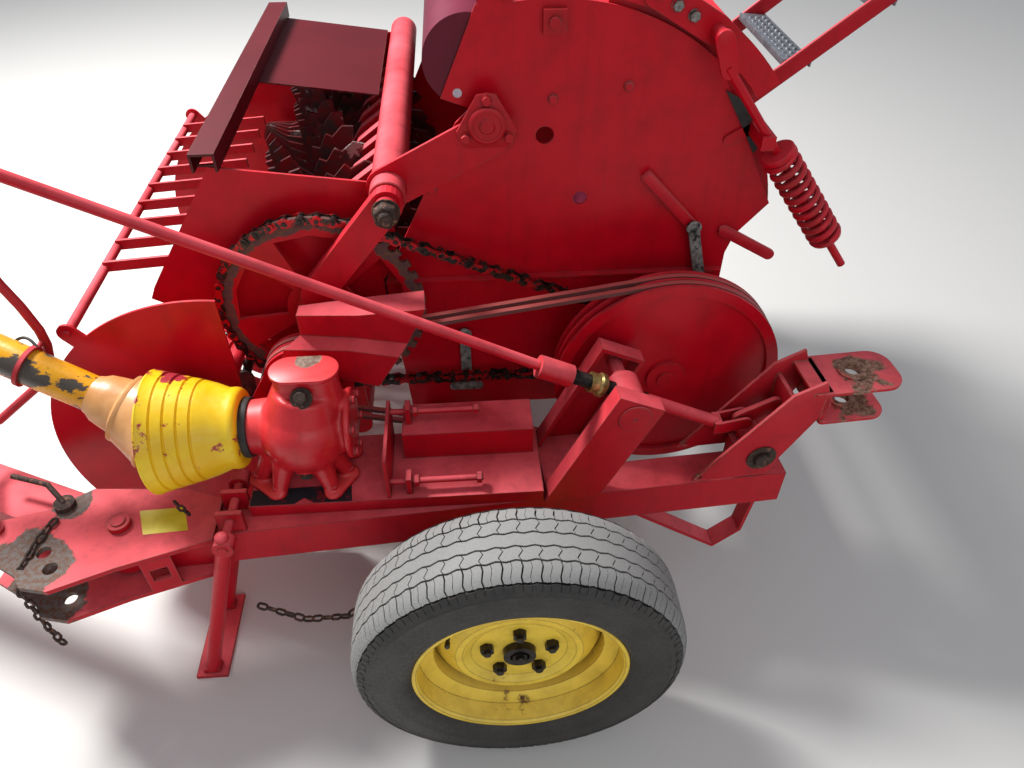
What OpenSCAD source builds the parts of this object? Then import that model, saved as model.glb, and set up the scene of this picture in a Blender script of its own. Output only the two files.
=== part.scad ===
/* [Overall] */
// Width over both tyres
overall_w = 2000; // [1960:5:2200]
// Distance from the middle of the length back to the wheel axle
axle_x = 275; // [265:1:285]
/* [Wheels] */
// Tyre outer radius
tyre_r = 342; // [336:1:348]
// Tyre section width
tyre_w = 195; // [175:5:205]
// Radius of the rim at its flange
rim_r = 220; // [214:1:226]
// Radius of the wheel disc's centre hole
disc_hole_r = 34; // [30:1:38]
// Radius of the stub axle
stub_r = 20; // [16:1:24]
/* [Frame] */
// Height of the underside of the main beam
beam_z = 372; // [366:1:380]
// Height of the main beam's section
beam_h = 96; // [90:1:100]
// Width of the main beam's section
beam_w = 86; // [80:1:90]
// Wall of the main beam
beam_wall = 6; // [5:1:8]
// Angle of the main beam to the direction of travel
beam_skew = 3.9; // [3:0.1:4.5]
// Length of the main beam
beam_l = 1290; // [1270:5:1310]
// Side of the square cross tube and axle beam
tube_s = 70; // [60:1:76]
/* [Drawbar] */
// Thickness of the drawbar head's plates
head_t = 12; // [10:1:15]
// Radius of the tongue's pivot bolt
pivot_r = 15; // [12:1:18]
// Length of the tongue from its pivot to the tow eye
tongue_l = 1000; // [960:5:1040]
// Width of the tongue
tongue_w = 110; // [100:1:116]
// Height of the tongue
tongue_h = 76; // [70:1:80]
// Angle at which the tongue stands when parked
tongue_a = 25; // [20:1:28]
// Radius of the tow eye's hole
eye_r = 21; // [18:1:25]
/* [Chamber] */
// Radius of the bale chamber's side plates
chamber_r = 520; // [515:1:524]
// Distance from the axle back to the middle of the chamber
chamber_x = 107; // [100:1:112]
// Height of the middle of the chamber
chamber_z = 880; // [876:1:884]
// Outer face of the left side plate, from the machine's middle
plate_y = -235; // [-240:1:-230]
// Gap between the right side plate and the right tyre
tyre_gap = 90; // [80:1:120]
// Thickness of the side plates
plate_t = 6; // [5:1:7]
/* [Drive] */
// Radius of the large belt pulley
pulley_r = 262; // [256:1:266]
// Radius of the small belt pulley
small_r = 100; // [92:1:104]
// Width of both belt pulleys
pulley_w = 62; // [56:1:64]
// Number of teeth on the large sprocket
teeth = 42; // [40:1:44]
// Pitch of the roller chain
chain_pitch = 34; // [33:0.5:35]
// Number of teeth on the small sprocket
small_teeth = 13; // [11:1:14]
/* [Pickup] */
// Radius of the pickup's round end plates
disc_r = 420; // [410:1:425]
// Radius to the tips of the pickup's tines
tine_r = 240; // [225:1:245]
// Number of tine bars on the reel
tine_bars = 4; // [4:1:5]
// Distance between tines along a bar
tine_pitch = 70; // [60:1:80]
// Number of tines on the wind guard
comb_tines = 9; // [8:1:10]
/* [Hidden] */
$fn = 40;
red = "#B5121E";
dark = "#2A2624";
steel = "#8A8680";
yellow = "#E8B820";
bright_red = "#D0343A";
fit = 0.05;
seat = 0.3;

// Wheels
wheel_y = overall_w / 2 - tyre_w / 2;
axle_end = wheel_y - 132.5;
tyre_sides = 36;
axle_z = tyre_r;
hub_r = 62;
hub_l = 90;
stud_pcd = 140;
studs = 5;

// Main frame
beam_x = -780;
beam_y = -696;
beam_top = beam_z + beam_h;
tube_z = beam_z - 40;
tube_top = tube_z + tube_s;
cross_x = -160;
axle_top = tube_top - 64;
stand_x = -600;
stand_z = beam_top + 32;
near_leg = -737;
far_leg = -560;
leg_clear = stand_x + 56;

// Side planes of the chamber and the drive, each a distance from the machine's middle
inner_y = plate_y + plate_t;
far_y = overall_w / 2 - tyre_w - tyre_gap;
far_inner = far_y - plate_t;
chain_y = plate_y - 55;
strut_y = chain_y - 55;
strut_d = 30;
belt_y = strut_y - 8 - pulley_w;
small_x = -440;
small_z = 650;
big_x = 385;
big_z = 612;
rotor_x = -400;
rotor_z = 770;
rotor_r = 255;
rotor_shaft = 24;
cross_tube_x = -225;
cross_tube_z = 1050;
cross_tube_r = 38;

// Gearbox and its platform
gear_y = -540;
gear_z = 645;
boss_l = 118;
base_z = 492;
base_t = 8;
base_top = base_z + base_t;
box_y = -440;
box_near = -520;
box_w = 100;
box_top = base_top + 75;

// Drawbar head and tongue
pivot = [-842, -654];
lock_r = 150;
lock_pin_r = 12;
slot_a = [-24, -43];

// Pickup
reel_x = -660;
reel_z = 335;
disc_x = -645;
disc_z = 450;
disc_y = -388;
disc_far = far_y + 30;
arm_y = inner_y + 7;
far_arm_y = far_inner - 17;
back_x = -380;
back_z = 325;
reel_shaft = 20;
carry_x = -640;
carry_z = 610;
bar_r = 150;
band_r = 190;
tine_y0 = -170;
tine_n = 1 + floor((far_arm_y - 22 - tine_y0) / tine_pitch);
star_y0 = -190;
star_pitch = 78;
star_n = 1 + floor((far_inner - 30 - star_y0) / star_pitch);
star_teeth = 8;
guard_x = -925;
guard_z = 800;
guard_pin = 8;
comb_l = 250;
comb_y0 = -140;
comb_pitch = (far_y - 79 - comb_y0) / (comb_tines - 1);

// Rear hitch
hitch_x = 565;
hitch_z = 548;
spin_x = 262;
spin_z = 704;
spin_y = -555;
lug_x = 528;
lug_z = 612;
hitch_top = 730;
hitch_pin_x = 749;
hitch_bore = 16;

// Tailgate
gate_x = -10;
gate_z = 1452;
gate_gap = 6;
gate_r = 534;
pin_r = 14;
spring_y = -305;
ladder_x = 614;
ladder_z = 1103;
ladder_y = [15, 365];
ladder_l = 788;
cover_t = 5;
flange_bearing = [-16, 1158];
roller_at = [[-50, 1290, 88], [-120, 560, 70], [20, 470, 60], [190, 470, 60], [350, 520, 60]];
disc_off = 26;
hoop_y = -408;
pto = [-700, gear_y, gear_z];
pto_pitch = 25.5;
pto_yaw = 14;
pto_l = 530;
bell_l = 182;
bell_r0 = 84;
bell_r1 = 131;
function bell_at(t) = bell_r0 + (bell_r1 - bell_r0) * t / bell_l;
pto_bore = 17.5;

module at_axle() { translate([axle_x, 0, 0]) children(); }

module on_beam() {
    at_axle() translate([beam_x, beam_y, 0]) rotate([0, 0, beam_skew]) children();
}

// A sheet t thick, drawn in X and Z, whose nearer face is at y0
module slab(y0, t) { translate([0, y0 + t, 0]) rotate([90, 0, 0]) linear_extrude(t) children(); }

// A round bar along Y
module bar_y(x, z, r, y0, y1) {
    translate([x, y0, z]) rotate([-90, 0, 0]) cylinder(r = r, h = y1 - y0);
}

// A flat strip between two points
module strip(p, q, w) {
    d = q - p;
    translate(p) rotate(atan2(d[1], d[0])) translate([0, -w / 2]) square([norm(d), w]);
}

// Outline round two circles, joined by their outer tangents
module wrap(p, q, rp, rq, n) {
    d = q - p;
    tilt = atan2(d[1], d[0]);
    b = acos((rp - rq) / norm(d));
    polygon(concat(arc(q, rq, tilt - b, tilt + b, n), arc(p, rp, tilt + b, tilt + 360 - b, n)));
}

// A strip with round ends
module link(p, q, w) { wrap(p, q, w / 2, w / 2, 10); }

// A round bar between two points in space
module rod(p, q, r) {
    d = q - p;
    translate(p) rotate([0, acos(d[2] / norm(d)), atan2(d[1], d[0])]) cylinder(r = r, h = norm(d));
}

module box(x, y, z) { translate([x[0], y[0], z[0]]) cube([x[1] - x[0], y[1] - y[0], z[1] - z[0]]); }

// Points of an arc about c, from angle a to angle b
function arc(c, r, a, b, n) = [for (i = [0:n]) let (t = a + (b - a) * i / n) c + r * [cos(t), sin(t)]];

module frame() {
    color(red) {
        on_beam() {
            difference() {
                box([0, beam_l + 140], [0, beam_w], [beam_z, beam_top]);
                box([-1, beam_l + 141], [beam_wall, beam_w - beam_wall],
                    [beam_z + beam_wall, beam_top - beam_wall]);
            }
            // Loop of flat bar under the rear end
            slab(22, 45) difference() {
                union() {
                    strip([1060, beam_z], [1310, 182], 9);
                    strip([1310, 182], [1372, 235], 9);
                    strip([1372, 235], [1388, beam_z], 9);
                    for (p = [[1310, 182], [1372, 235]]) translate(p) circle(4.5);
                }
                translate([1000, beam_z]) square([500, 40]);
            }
            // Sleeve and saddle that carry the rear hitch's pivot
            difference() {
                union() {
                    bar_y(1345, hitch_z, 27, 4, beam_w - 4);
                    box([1305, 1385], [4, beam_w - 4], [beam_top, hitch_z - 14]);
                }
                bar_y(1345, hitch_z, 14 + fit, 0, beam_w);
            }
        }
        at_axle() {
            box([cross_x - tube_s / 2, cross_x + tube_s / 2], [-600, far_y], [tube_z, tube_top]);
            box([-tube_s / 2, tube_s / 2], [-axle_end, axle_end], [axle_top - tube_s, axle_top]);
            box([-32, 32], [-640, -560], [axle_top - 1, beam_z + 1]);
            for (y = [plate_y - 12, far_y - 18])
                box([-35, 35], [y, y + 30], [axle_top, tube_top]);
            for (s = [-1, 1]) {
                box([-42, 42], s > 0 ? [axle_end - 22, axle_end + 2] : [-axle_end - 2, 22 - axle_end],
                    [axle_top - tube_s, axle_z + 44]);
                rod([0, s * (axle_end + 2), axle_z], [0, s * (wheel_y + 30), axle_z], stub_r);
            }
            // Rear tie between the side plates
            box([470, 530], [inner_y, far_inner], [440, 490]);
            // Ears of the parking stand's pin
            difference() {
                box([stand_x - 28, stand_x + 28], [-678, -606], [beam_top - 1, stand_z + 24]);
                box([stand_x - 29, stand_x + 29], [-666, -618], [beam_top, stand_z + 30]);
            }
            bar_y(stand_x, stand_z, 10, -756, -541);
        }
    }
}

module head_plan() {
    difference() {
        polygon([[-1010, -600], [-1112, -624], [-1124, -704], [-1018, -770], [-1000, -798], [-940, -812], [-825, -766],
            [-636, -706], [-636, -592], [-720, -560], [-930, -545]]);
        for (a = slot_a) translate(pivot) rotate(180 - a) translate([lock_r, 0]) circle(15);
        translate(pivot) rotate(180 - tongue_a) translate([lock_r, 0]) circle(lock_pin_r + fit);
    }
}

module drawbar_head() {
    color(red) at_axle() {
        difference() {
            for (z = [beam_z - head_t, beam_top]) translate([0, 0, z]) linear_extrude(head_t) head_plan();
            translate([pivot[0], pivot[1], 0]) cylinder(r = pivot_r - 1, h = 900);
        }
        translate([pivot[0], pivot[1], beam_z - head_t - 18]) {
            cylinder(r = pivot_r, h = beam_h + 2 * head_t + 36);
            cylinder(r = pivot_r + 11, h = 18, $fn = 6);
            translate([0, 0, beam_h + 2 * head_t + 18]) cylinder(r = pivot_r + 9, h = 14);
        }
        // Web along the near edge with its square opening
        difference() {
            translate([-780, -752, beam_z]) rotate([0, 0, 17]) cube([62, 8, beam_h]);
            translate([-768, -770, beam_z + 30]) cube([34, 60, 36]);
        }
    }
}

module lock_pin() {
    color(dark) at_axle() translate([pivot[0], pivot[1], 0]) rotate([0, 0, 180 - tongue_a])
        translate([lock_r, 0, beam_top + 1]) {
        cylinder(r = lock_pin_r, h = head_t);
        translate([0, 0, head_t - 1 + seat]) cylinder(r = 22, h = 12);
        rod([0, 0, head_t + 8], [60, -20, head_t + 26], 6);
        rod([58, -19, head_t + 26], [150, -10, head_t + 26], 6);
    }
}

module tongue() {
    color(red) at_axle() translate([pivot[0], pivot[1], 0]) rotate([0, 0, 180 - tongue_a]) {
        z0 = beam_z + (beam_h - tongue_h) / 2;
        difference() {
            union() {
                translate([0, -tongue_w / 2, z0]) cube([tongue_l - 60, tongue_w, tongue_h]);
                translate([0, 0, z0]) cylinder(r = tongue_w / 2, h = tongue_h);
            }
            translate([190, -tongue_w / 2 + 7, z0 + 7]) cube([tongue_l, tongue_w - 14, tongue_h - 14]);
            translate([0, 0, z0 - 1]) cylinder(r = pivot_r + fit, h = tongue_h + 2);
            translate([lock_r, 0, z0 - 1]) cylinder(r = lock_pin_r + 1, h = tongue_h + 2);
        }
        translate([tongue_l - 80, -tongue_w / 2 + 7, z0 + 23]) cube([50, tongue_w - 14, 30]);
        difference() {
            translate([0, 0, beam_z + seat]) cylinder(r = 34, h = beam_h - 2 * seat);
            translate([0, 0, beam_z]) cylinder(r = pivot_r + fit, h = beam_h);
        }
        difference() {
            translate([tongue_l, 0, z0 + 23]) cylinder(r = eye_r + 27, h = 30);
            translate([tongue_l, 0, z0]) cylinder(r = eye_r, h = tongue_h);
        }
    }
}

module parking_stand() {
    leg = [-145, -stand_z + 10];
    color(red) at_axle() translate([stand_x, 0, stand_z]) {
        for (y = [near_leg, far_leg]) difference() {
            union() {
                rod([0, y, 0], [leg[0], y, leg[1] + 6], 17);
                bar_y(0, 0, 22, y - 16, y + 16);
            }
            bar_y(0, 0, 10 + fit, y - 40, y + 40);
        }
        box([leg[0] - 38, leg[0] + 38], [-760, -530], [leg[1] - 10, leg[1]]);
        for (y = [near_leg, far_leg]) box([leg[0] - 20, leg[0] + 20], [y - 14, y + 14], [leg[1] - 1, leg[1] + 12]);
    }
}

module gear_platform() {
    color(red) at_axle() {
        // Plate, notched for the stand's far leg, on two webs
        difference() {
            box([-568, 76], [-640, box_y + 1], [base_z, base_top]);
            box([-569, leg_clear], [far_leg - 24, far_leg + 24], [base_z - 1, base_top + 1]);
        }
        box([-568, 76], [-640, -632], [beam_top, base_z + 1]);
        box([leg_clear + 40, 76], [-600, -570], [beam_top, base_z + 1]);
        // Box beam on a post from the cross tube
        difference() {
            box([-234, 63], [box_near, box_near + box_w], [base_z - 7, box_top]);
            box([-235, 64], [box_near + 6, box_near + box_w - 6], [base_z - 1, box_top - 6]);
        }
        box([cross_x - 30, cross_x + 30], [box_near + 10, box_near + box_w - 10], [tube_top, base_z - 6]);
        // Cross piece that carries the strut
        box([-440, -360], [box_y - 1, strut_y + strut_d + 5], [base_top - 70, base_top]);
        // Upright plate and the two belt adjusting screws
        box([-268, -260], [-636, -445], [base_top - 1, base_top + 115]);
        for (screw = [[-612, base_top - 1], [box_near + 50, box_top - 1]])
            translate([0, screw[0], screw[1]]) {
                box([-225, -213], [-16, 16], [0, 47]);
                translate([-261, 0, 27]) rotate([0, 90, 0]) cylinder(r = 7, h = 205);
                for (x = [-208, -70]) translate([x, 0, 27]) rotate([0, 90, 0]) cylinder(r = 13, h = 11, $fn = 6);
            }
    }
}

module trunnion_frame() {
    foot = [922, beam_top];
    top = [1055, 742];
    color(red) on_beam() difference() {
        union() for (y = [-8, 150]) {
            slab(y, 40) intersection() {
                strip(foot - [54, 110], top, 110);
                translate([600, beam_top]) square(600);
            }
        }
        for (y = [0, 142]) slab(y, 40) intersection() {
            strip(foot - [54, 110], top - [4, 8], 92);
            translate([600, beam_top + 10]) square(600);
        }
        bar_y(spin_x - beam_x, spin_z, 16 + fit, -20, 200);
    }
    color(red) on_beam() box([868, 975], [33, 151], [beam_top, beam_top + 10]);
}

module gearbox() {
    color(bright_red) at_axle() translate([small_x, gear_y, gear_z]) {
        difference() {
            union() {
                sphere(r = 90);
                translate([0, 0, -8]) cylinder(r = 84, h = 70);
                // Neck and flat oval top
                for (x = [-32, 32]) translate([x, 0, 30]) cylinder(r = 38, h = 122);
                translate([-32, -38, 30]) cube([64, 76, 122]);
                for (x = [-32, 32]) translate([x, 0, 146]) cylinder(r = 40, h = 10);
                translate([-32, -40, 146]) cube([64, 80, 10]);
                rotate([0, -90, 0]) cylinder(r = 60, h = boss_l);
                // Input shaft and its yoke inside the bell
                rotate([0, -90, 0]) cylinder(r = rotor_shaft - 6, h = boss_l + 80);
                translate([-boss_l - 92, 0, 0]) rotate([0, 90, 0]) cylinder(r = 30, h = 46);
                rotate([0, 90, 0]) cylinder(r = 64, h = 118);
                translate([98, 0, 0]) rotate([0, 90, 0]) cylinder(r = 78, h = 14);
                rotate([-90, 0, 0]) cylinder(r = 58, h = 112);
                // Four feet
                for (x = [-90, 46], y = [-80, 40])
                    translate([x, y, base_top - gear_z]) cube([44, 40, 100]);
                for (x = [-104, 36], y = [-92, 36])
                    translate([x, y, base_top - gear_z]) cube([68, 56, 14]);
            }
            translate([0, 0, base_top - gear_z - 50]) cube([400, 400, 100], center = true);
        }
        // Filler plug
        translate([-14, -48, 40]) rotate([52, 0, 0]) {
            cylinder(r = 18, h = 56);
            translate([0, 0, 56]) cylinder(r = 13, h = 14, $fn = 6);
        }
    }
}

// A grooved belt pulley about Y, its near rim at y0
module pulley(r, w, bore, web_y) {
    rotate([-90, 0, 0]) {
        rotate_extrude() difference() {
            translate([r - 26, 0]) square([26, w]);
            for (i = [0, 1]) translate([0, w / 2 - 13 + 26 * i])
                polygon([[r - 14, -5], [r + 1, -9], [r + 1, 9], [r - 14, 5]]);
        }
        translate([0, 0, web_y]) difference() {
            cylinder(r = r - 25, h = 8);
            translate([0, 0, -1]) cylinder(r = bore, h = 12);
        }
        difference() {
            cylinder(r = bore + 24, h = w);
            translate([0, 0, -1]) cylinder(r = bore, h = w + 2);
        }
    }
}

module small_pulley() {
    color(red) at_axle() {
        translate([small_x, belt_y, small_z]) pulley(small_r, pulley_w, 20, 26);
        bar_y(small_x, small_z, 20, gear_y + 112 + seat, belt_y + pulley_w - 4);
    }
}

module big_pulley() {
    color(red) at_axle() {
        translate([big_x, belt_y, big_z]) pulley(pulley_r, pulley_w, 22, 10);
        bar_y(big_x, big_z, 22, belt_y - 6, plate_y - 30 - seat);
    }
}

module drive_belts() {
    color(dark) at_axle() for (i = [0, 1]) slab(belt_y + pulley_w / 2 - 19 + 26 * i, 12) difference() {
        wrap([small_x, small_z], [big_x, big_z], small_r + 1, pulley_r + 1, 44);
        wrap([small_x, small_z], [big_x, big_z], small_r - 8, pulley_r - 8, 44);
    }
}

module belt_guard() {
    y0 = belt_y - 10;
    color(red) at_axle() difference() {
        slab(y0, strut_y - 3 - y0)
            polygon([[-505, 742], [-438, 826], [-400, 893], [-150, 905], [-160, 800], [-268, 640],
                [-300, 690], [-455, 742]]);
        slab(y0 + 4, strut_y - y0)
            polygon([[-560, 700], [-434, 822], [-396, 888], [-100, 900], [-100, 800], [-268, 600],
                [-300, 600], [-500, 640]]);
    }
}

// Outline of a sprocket with n teeth, one gap at angle a
module sprocket(n, bore, a) {
    r = chain_pitch / (2 * sin(180 / n));
    difference() {
        circle(r + 5, $fn = 84);
        for (i = [0:n - 1]) rotate(a + i * 360 / n) translate([r, 0]) circle(9.5, $fn = 16);
        circle(bore);
    }
}

module feed_sprocket() {
    r = chain_pitch / (2 * sin(180 / teeth));
    color(red) at_axle() translate([rotor_x, 0, rotor_z]) {
        slab(chain_y - 5, 10) difference() {
            sprocket(teeth, rotor_shaft + fit, start_a);
            for (i = [0:4]) rotate(72 * i + 18) difference() {
                polygon([[70, -34], [70, 34], [r - 52, 78], [r - 36, 0], [r - 52, -78]]);
                circle(80);
            }
        }
        slab(chain_y - 22, 48) difference() {
            circle(58);
            circle(rotor_shaft + fit);
        }
    }
}

module drive_sprocket() {
    color(dark) at_axle() translate([big_x, 0, big_z]) {
        slab(chain_y - 5, 10) sprocket(small_teeth, 22 + fit, start_b);
        slab(chain_y - 20, 14) difference() {
            circle(42);
            circle(22 + fit);
        }
    }
}

// Chain run: pins on two arcs of tooth gaps and on two straight stretches
chain_a = [rotor_x, rotor_z];
chain_b = [big_x, big_z];
chain_ra = chain_pitch / (2 * sin(180 / teeth));
chain_rb = chain_pitch / (2 * sin(180 / small_teeth));
chain_k = asin((chain_ra - chain_rb) / norm(chain_b - chain_a));
chain_tilt = atan2(chain_b[1] - chain_a[1], chain_b[0] - chain_a[0]);
start_a = chain_tilt + 90 - chain_k;
start_b = chain_tilt + 270 + chain_k;
gaps_a = floor((180 + 2 * chain_k) * teeth / 360);
gaps_b = floor((180 - 2 * chain_k) * small_teeth / 360);
function on_a(i) = chain_a + chain_ra * [cos(start_a + i * 360 / teeth), sin(start_a + i * 360 / teeth)];
function on_b(i) = chain_b
    + chain_rb * [cos(start_b + i * 360 / small_teeth), sin(start_b + i * 360 / small_teeth)];
function run(p, q, n) = [for (i = [1:n - 1]) p + (q - p) * i / n];
run_low = round(norm(on_b(0) - on_a(gaps_a)) / chain_pitch);
run_top_raw = round(norm(on_a(0) - on_b(gaps_b)) / chain_pitch);
run_top = run_top_raw + (gaps_a + gaps_b + run_low + run_top_raw) % 2;
pins = concat([for (i = [0:gaps_a]) on_a(i)], run(on_a(gaps_a), on_b(0), run_low),
    [for (i = [0:gaps_b]) on_b(i)], run(on_b(gaps_b), on_a(0), run_top));

function pin(i) = pins[(i + len(pins)) % len(pins)];
function outward(p, q) = let (d = (q - p) / norm(q - p)) [d[1], -d[0]];

// One row of link plates: full width at the pins, waisted between them
module link_row(w) {
    last = len(pins) - 1;
    difference() {
        polygon([for (i = [0:last]) each [pin(i) + w * outward(pin(i - 1), pin(i + 1)),
            (pin(i) + pin(i + 1)) / 2 + 0.6 * w * outward(pin(i), pin(i + 1))]]);
        polygon([for (i = [0:last]) pin(i) - w * outward(pin(i - 1), pin(i + 1))]);
    }
}

module drive_chain() {
    color(dark) at_axle() {
        for (y = [-11, 7]) slab(chain_y + y, 4) link_row(11);
        for (p = pins) slab(chain_y - 8, 16) translate(p) circle(5.5, $fn = 4);
    }
}

// Outline of a chamber side plate, with the tailgate's hinge ear
module plate_outline() {
    c = [chamber_x, chamber_z];
    difference() {
        union() {
            polygon(concat(arc(c, chamber_r, 49.4, 104, 24), [[-33, 1392], [-107, 1221], [-49, 1200],
                [-80, 1170], [-261, 794], [-230, tube_top], [533, tube_top], [533, 839], [547, 887],
                [611, 965]]));
            link([gate_x, gate_z], [gate_x + 20, gate_z - 90], 64);
        }
        translate([gate_x, gate_z]) circle(pin_r + fit);
    }
}

module left_plate() {
    color(red) at_axle() {
        slab(plate_y, plate_t) difference() {
            plate_outline();
            translate([102, 1139]) circle(19);
            translate([183, 994]) circle(15);
            for (p = [[116, 1215], [266, 1236], [-87, 1107], [-136, 1027]]) translate(p) circle(5);
        }
        // Lower cover sheet, proud of the plate, and its folded ledge
        slab(plate_y - cover_t, cover_t + 1)
            polygon([[-258, 800], [-230, tube_top], [528, tube_top], [528, 800]]);
        box([-256, 526], [plate_y - 18, plate_y + 1], [800, 804]);
    }
}

module right_plate() {
    color(red) at_axle() slab(far_y - plate_t, plate_t) plate_outline();
}

module strut() {
    color(red) at_axle() {
        difference() {
            slab(strut_y, strut_d) {
                link([cross_tube_x, cross_tube_z], [-400, 840], 66);
                polygon([[-433, 840], [-433, base_top], [-367, base_top], [-367, 840]]);
            }
            slab(strut_y + 6, strut_d) {
                strip([cross_tube_x - 40, cross_tube_z - 47], [-392, 850], 52);
                polygon([[-427, 830], [-427, base_top - 1], [-373, base_top - 1], [-373, 830]]);
            }
        }
        bar_y(cross_tube_x, cross_tube_z, 24, strut_y - 22, strut_y + 1);
        // Brace from the cross tube to the flange bearing
        difference() {
            slab(plate_y - 36, 8) link([cross_tube_x, cross_tube_z], flange_bearing, 92);
            bar_y(cross_tube_x, cross_tube_z, cross_tube_r + seat, -400, 0);
            bar_y(flange_bearing[0], flange_bearing[1], 18 + fit, -400, 0);
        }
    }
}

// A curved stripper bar that reaches down between two rotor discs
module stripper_bar() {
    difference() {
        intersection() {
            translate([rotor_x, rotor_z]) circle(352);
            polygon([[rotor_x + 60, rotor_z + 60], [rotor_x + 420, rotor_z - 40],
                [rotor_x + 420, rotor_z + 330], [rotor_x + 130, rotor_z + 330]]);
        }
        translate([rotor_x, rotor_z]) circle(316);
        translate([cross_tube_x, cross_tube_z]) circle(cross_tube_r - 2);
    }
    strip([cross_tube_x + 20, cross_tube_z - 20], [rotor_x + 70, rotor_z + 108], 30);
}

module cross_tube() {
    color(red) at_axle() {
        difference() {
            bar_y(cross_tube_x, cross_tube_z, cross_tube_r, strut_y + strut_d, far_y + 25);
            bar_y(cross_tube_x, cross_tube_z, cross_tube_r - 5, strut_y + strut_d + 20, far_y + 26);
        }
        for (i = [0:star_n - 2]) slab(star_y0 + star_pitch * (i + 0.5) - 1, 10) difference() {
            stripper_bar();
            translate([cross_tube_x, cross_tube_z]) circle(cross_tube_r - 2);
        }
    }
}

// A round flange bearing whose seat is at y1
module flange_unit(x, z, bore, y1) {
    difference() {
        union() {
            slab(y1 - 9, 9) polygon([for (a = [90, 210, 330]) for (s = [-18, 18])
                [x + 62 * cos(a + s), z + 62 * sin(a + s)]]);
            bar_y(x, z, 42, y1 - 23, y1 - 8);
        }
        bar_y(x, z, bore + fit, y1 - 30, y1 + 1);
        for (a = [90, 210, 330]) bar_y(x + 50 * cos(a), z + 50 * sin(a), 6, y1 - 30, y1 + 1);
    }
}

module bearings() {
    color(dark) at_axle() {
        flange_unit(rotor_x, rotor_z, rotor_shaft, plate_y - plate_t);
        flange_unit(big_x, big_z, 22, plate_y - cover_t);
        flange_unit(flange_bearing[0], flange_bearing[1], 18, plate_y);
        bar_y(flange_bearing[0], flange_bearing[1], 18, plate_y - 44, plate_y);
        mirror([0, 1, 0]) flange_unit(rotor_x, rotor_z, rotor_shaft, -far_y - plate_t);
        // Square tab with its bolt at the top of the left plate
        slab(plate_y - 12, 12) translate([92, 1340]) square(44);
        bar_y(114, 1362, 11, plate_y - 20, plate_y - 11);
    }
}

// A hollow roller with closed ends
module drum(x, z, r, y0, y1) {
    difference() {
        bar_y(x, z, r, y0, y1);
        bar_y(x, z, r - 6, y0 + 8, y1 - 8);
    }
    bar_y(x, z, 18, y0 + 1, y1 - 1);
}

module chamber_rollers() {
    color(steel) at_axle() for (p = roller_at)
        drum(p[0], p[1], p[2], inner_y + seat, far_inner - seat);
}

// Outline of an intake side sheet
module intake_outline() {
    difference() {
        polygon([[-588, 1096], [-780, 810], [-795, 780], [-640, 690], [-540, 640], [-262, 604],
            [-262, 806], [-225, 860], [-225, 1045]]);
        translate([rotor_x, rotor_z]) circle(rotor_shaft + 6);
        translate([cross_tube_x, cross_tube_z]) circle(cross_tube_r + seat);
    }
}

module left_intake() {
    color(red) at_axle() slab(plate_y - plate_t, plate_t) intake_outline();
}

module right_intake() {
    color(red) at_axle() slab(far_y, plate_t) intake_outline();
}

module hood() {
    color(red) at_axle() {
        difference() {
            box([-612, -560], [plate_y - 32, far_y + 22], [1096.5, 1136]);
            box([-607, -565], [plate_y - 33, far_y + 23], [1090, 1131]);
        }
        box([-608, -566], [plate_y - plate_t, plate_y - 1], [1096.5, 1101]);
        slab(215, far_y - 216) strip([-570, 1098], [-272, 1056], 4);
    }
}

module spring_bracket() {
    color(red) at_axle() difference() {
        union() {
            slab(plate_y - 6, 6) link([490, 1118], [546, 1150], 24);
            box([527, 555], [-322, plate_y - 1], [1131, 1159]);
        }
        rod([546 - 61, spring_y, 1150 + 79], [546 + 61, spring_y, 1150 - 79], 9 + fit);
    }
}

module gate_spring() {
    u = [0.61, -0.79];
    color(dark) at_axle() {
        rod([430, spring_y, 1300], [784, spring_y, 842], 9);
        slab(spring_y - 6, 12) link([420, 1343], [436, 1292], 36);
        for (i = [0:8]) {
            p = [580 + 17 * i, 1106 - 22 * i];
            rod([p[0], spring_y, p[1]], [p[0] + 7, spring_y, p[1] - 9], 34);
        }
        rod([574, spring_y, 1114], [724, spring_y, 920], 26);
    }
}

module latches() {
    color(dark) at_axle() {
        slab(plate_y - cover_t - 14, 14) link([-83, 646], [-82, 475], 30);
        slab(plate_y - cover_t - 14, 14) translate([-118, 466]) square([72, 22]);
        slab(plate_y - 20, 20) strip([320, 1050], [449, 913], 24);
        slab(plate_y - cover_t - 14, 14 ) translate([440, 752]) square([72, 22]);
        slab(plate_y - 32, 12) link([440, 925], [478, 778], 28);
        slab(plate_y - 10, 10) difference() {
            link([518, 902], [637, 834], 26);
            translate([637, 834]) circle(7);
        }
    }
}

module along_pto() {
    at_axle() translate(pto) rotate([0, 90 - pto_pitch, 180 - pto_yaw]) children();
}

module pto_guard() {
    color(yellow) {
        // Bell on the gearbox, stepping out in four folds towards its rim
        at_axle() translate([small_x - boss_l - seat, gear_y, gear_z]) rotate([0, -90, 0]) rotate_extrude()
            polygon(concat([[22, 0], [bell_r0, 0]], [for (t = [82, 106, 130, 154])
                each [[bell_at(t) - 1, t], [bell_at(t) + 2, t + 2]]], [[bell_r1, bell_l], [bell_r1 - 4, bell_l],
                [bell_r0 - 4, 4], [22, 4]]));
        // Boot cone and tube, which turns in a bush on the shaft
        along_pto() rotate_extrude() polygon([[100, 38], [100, 50], [70, 116], [62, 120], [52, 168], [39, 184],
            [39, pto_l - 68], [20.5, pto_l - 68], [20.5, pto_l - 88], [33, pto_l - 88], [33, 182], [46, 166],
            [57, 118], [95, 48], [95, 38]]);
    }
    color(dark) along_pto() translate([0, 0, pto_l - 112]) difference() {
        cylinder(r = 47, h = 26);
        translate([0, 0, -1]) cylinder(r = 38, h = 28);
    }
}

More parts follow.
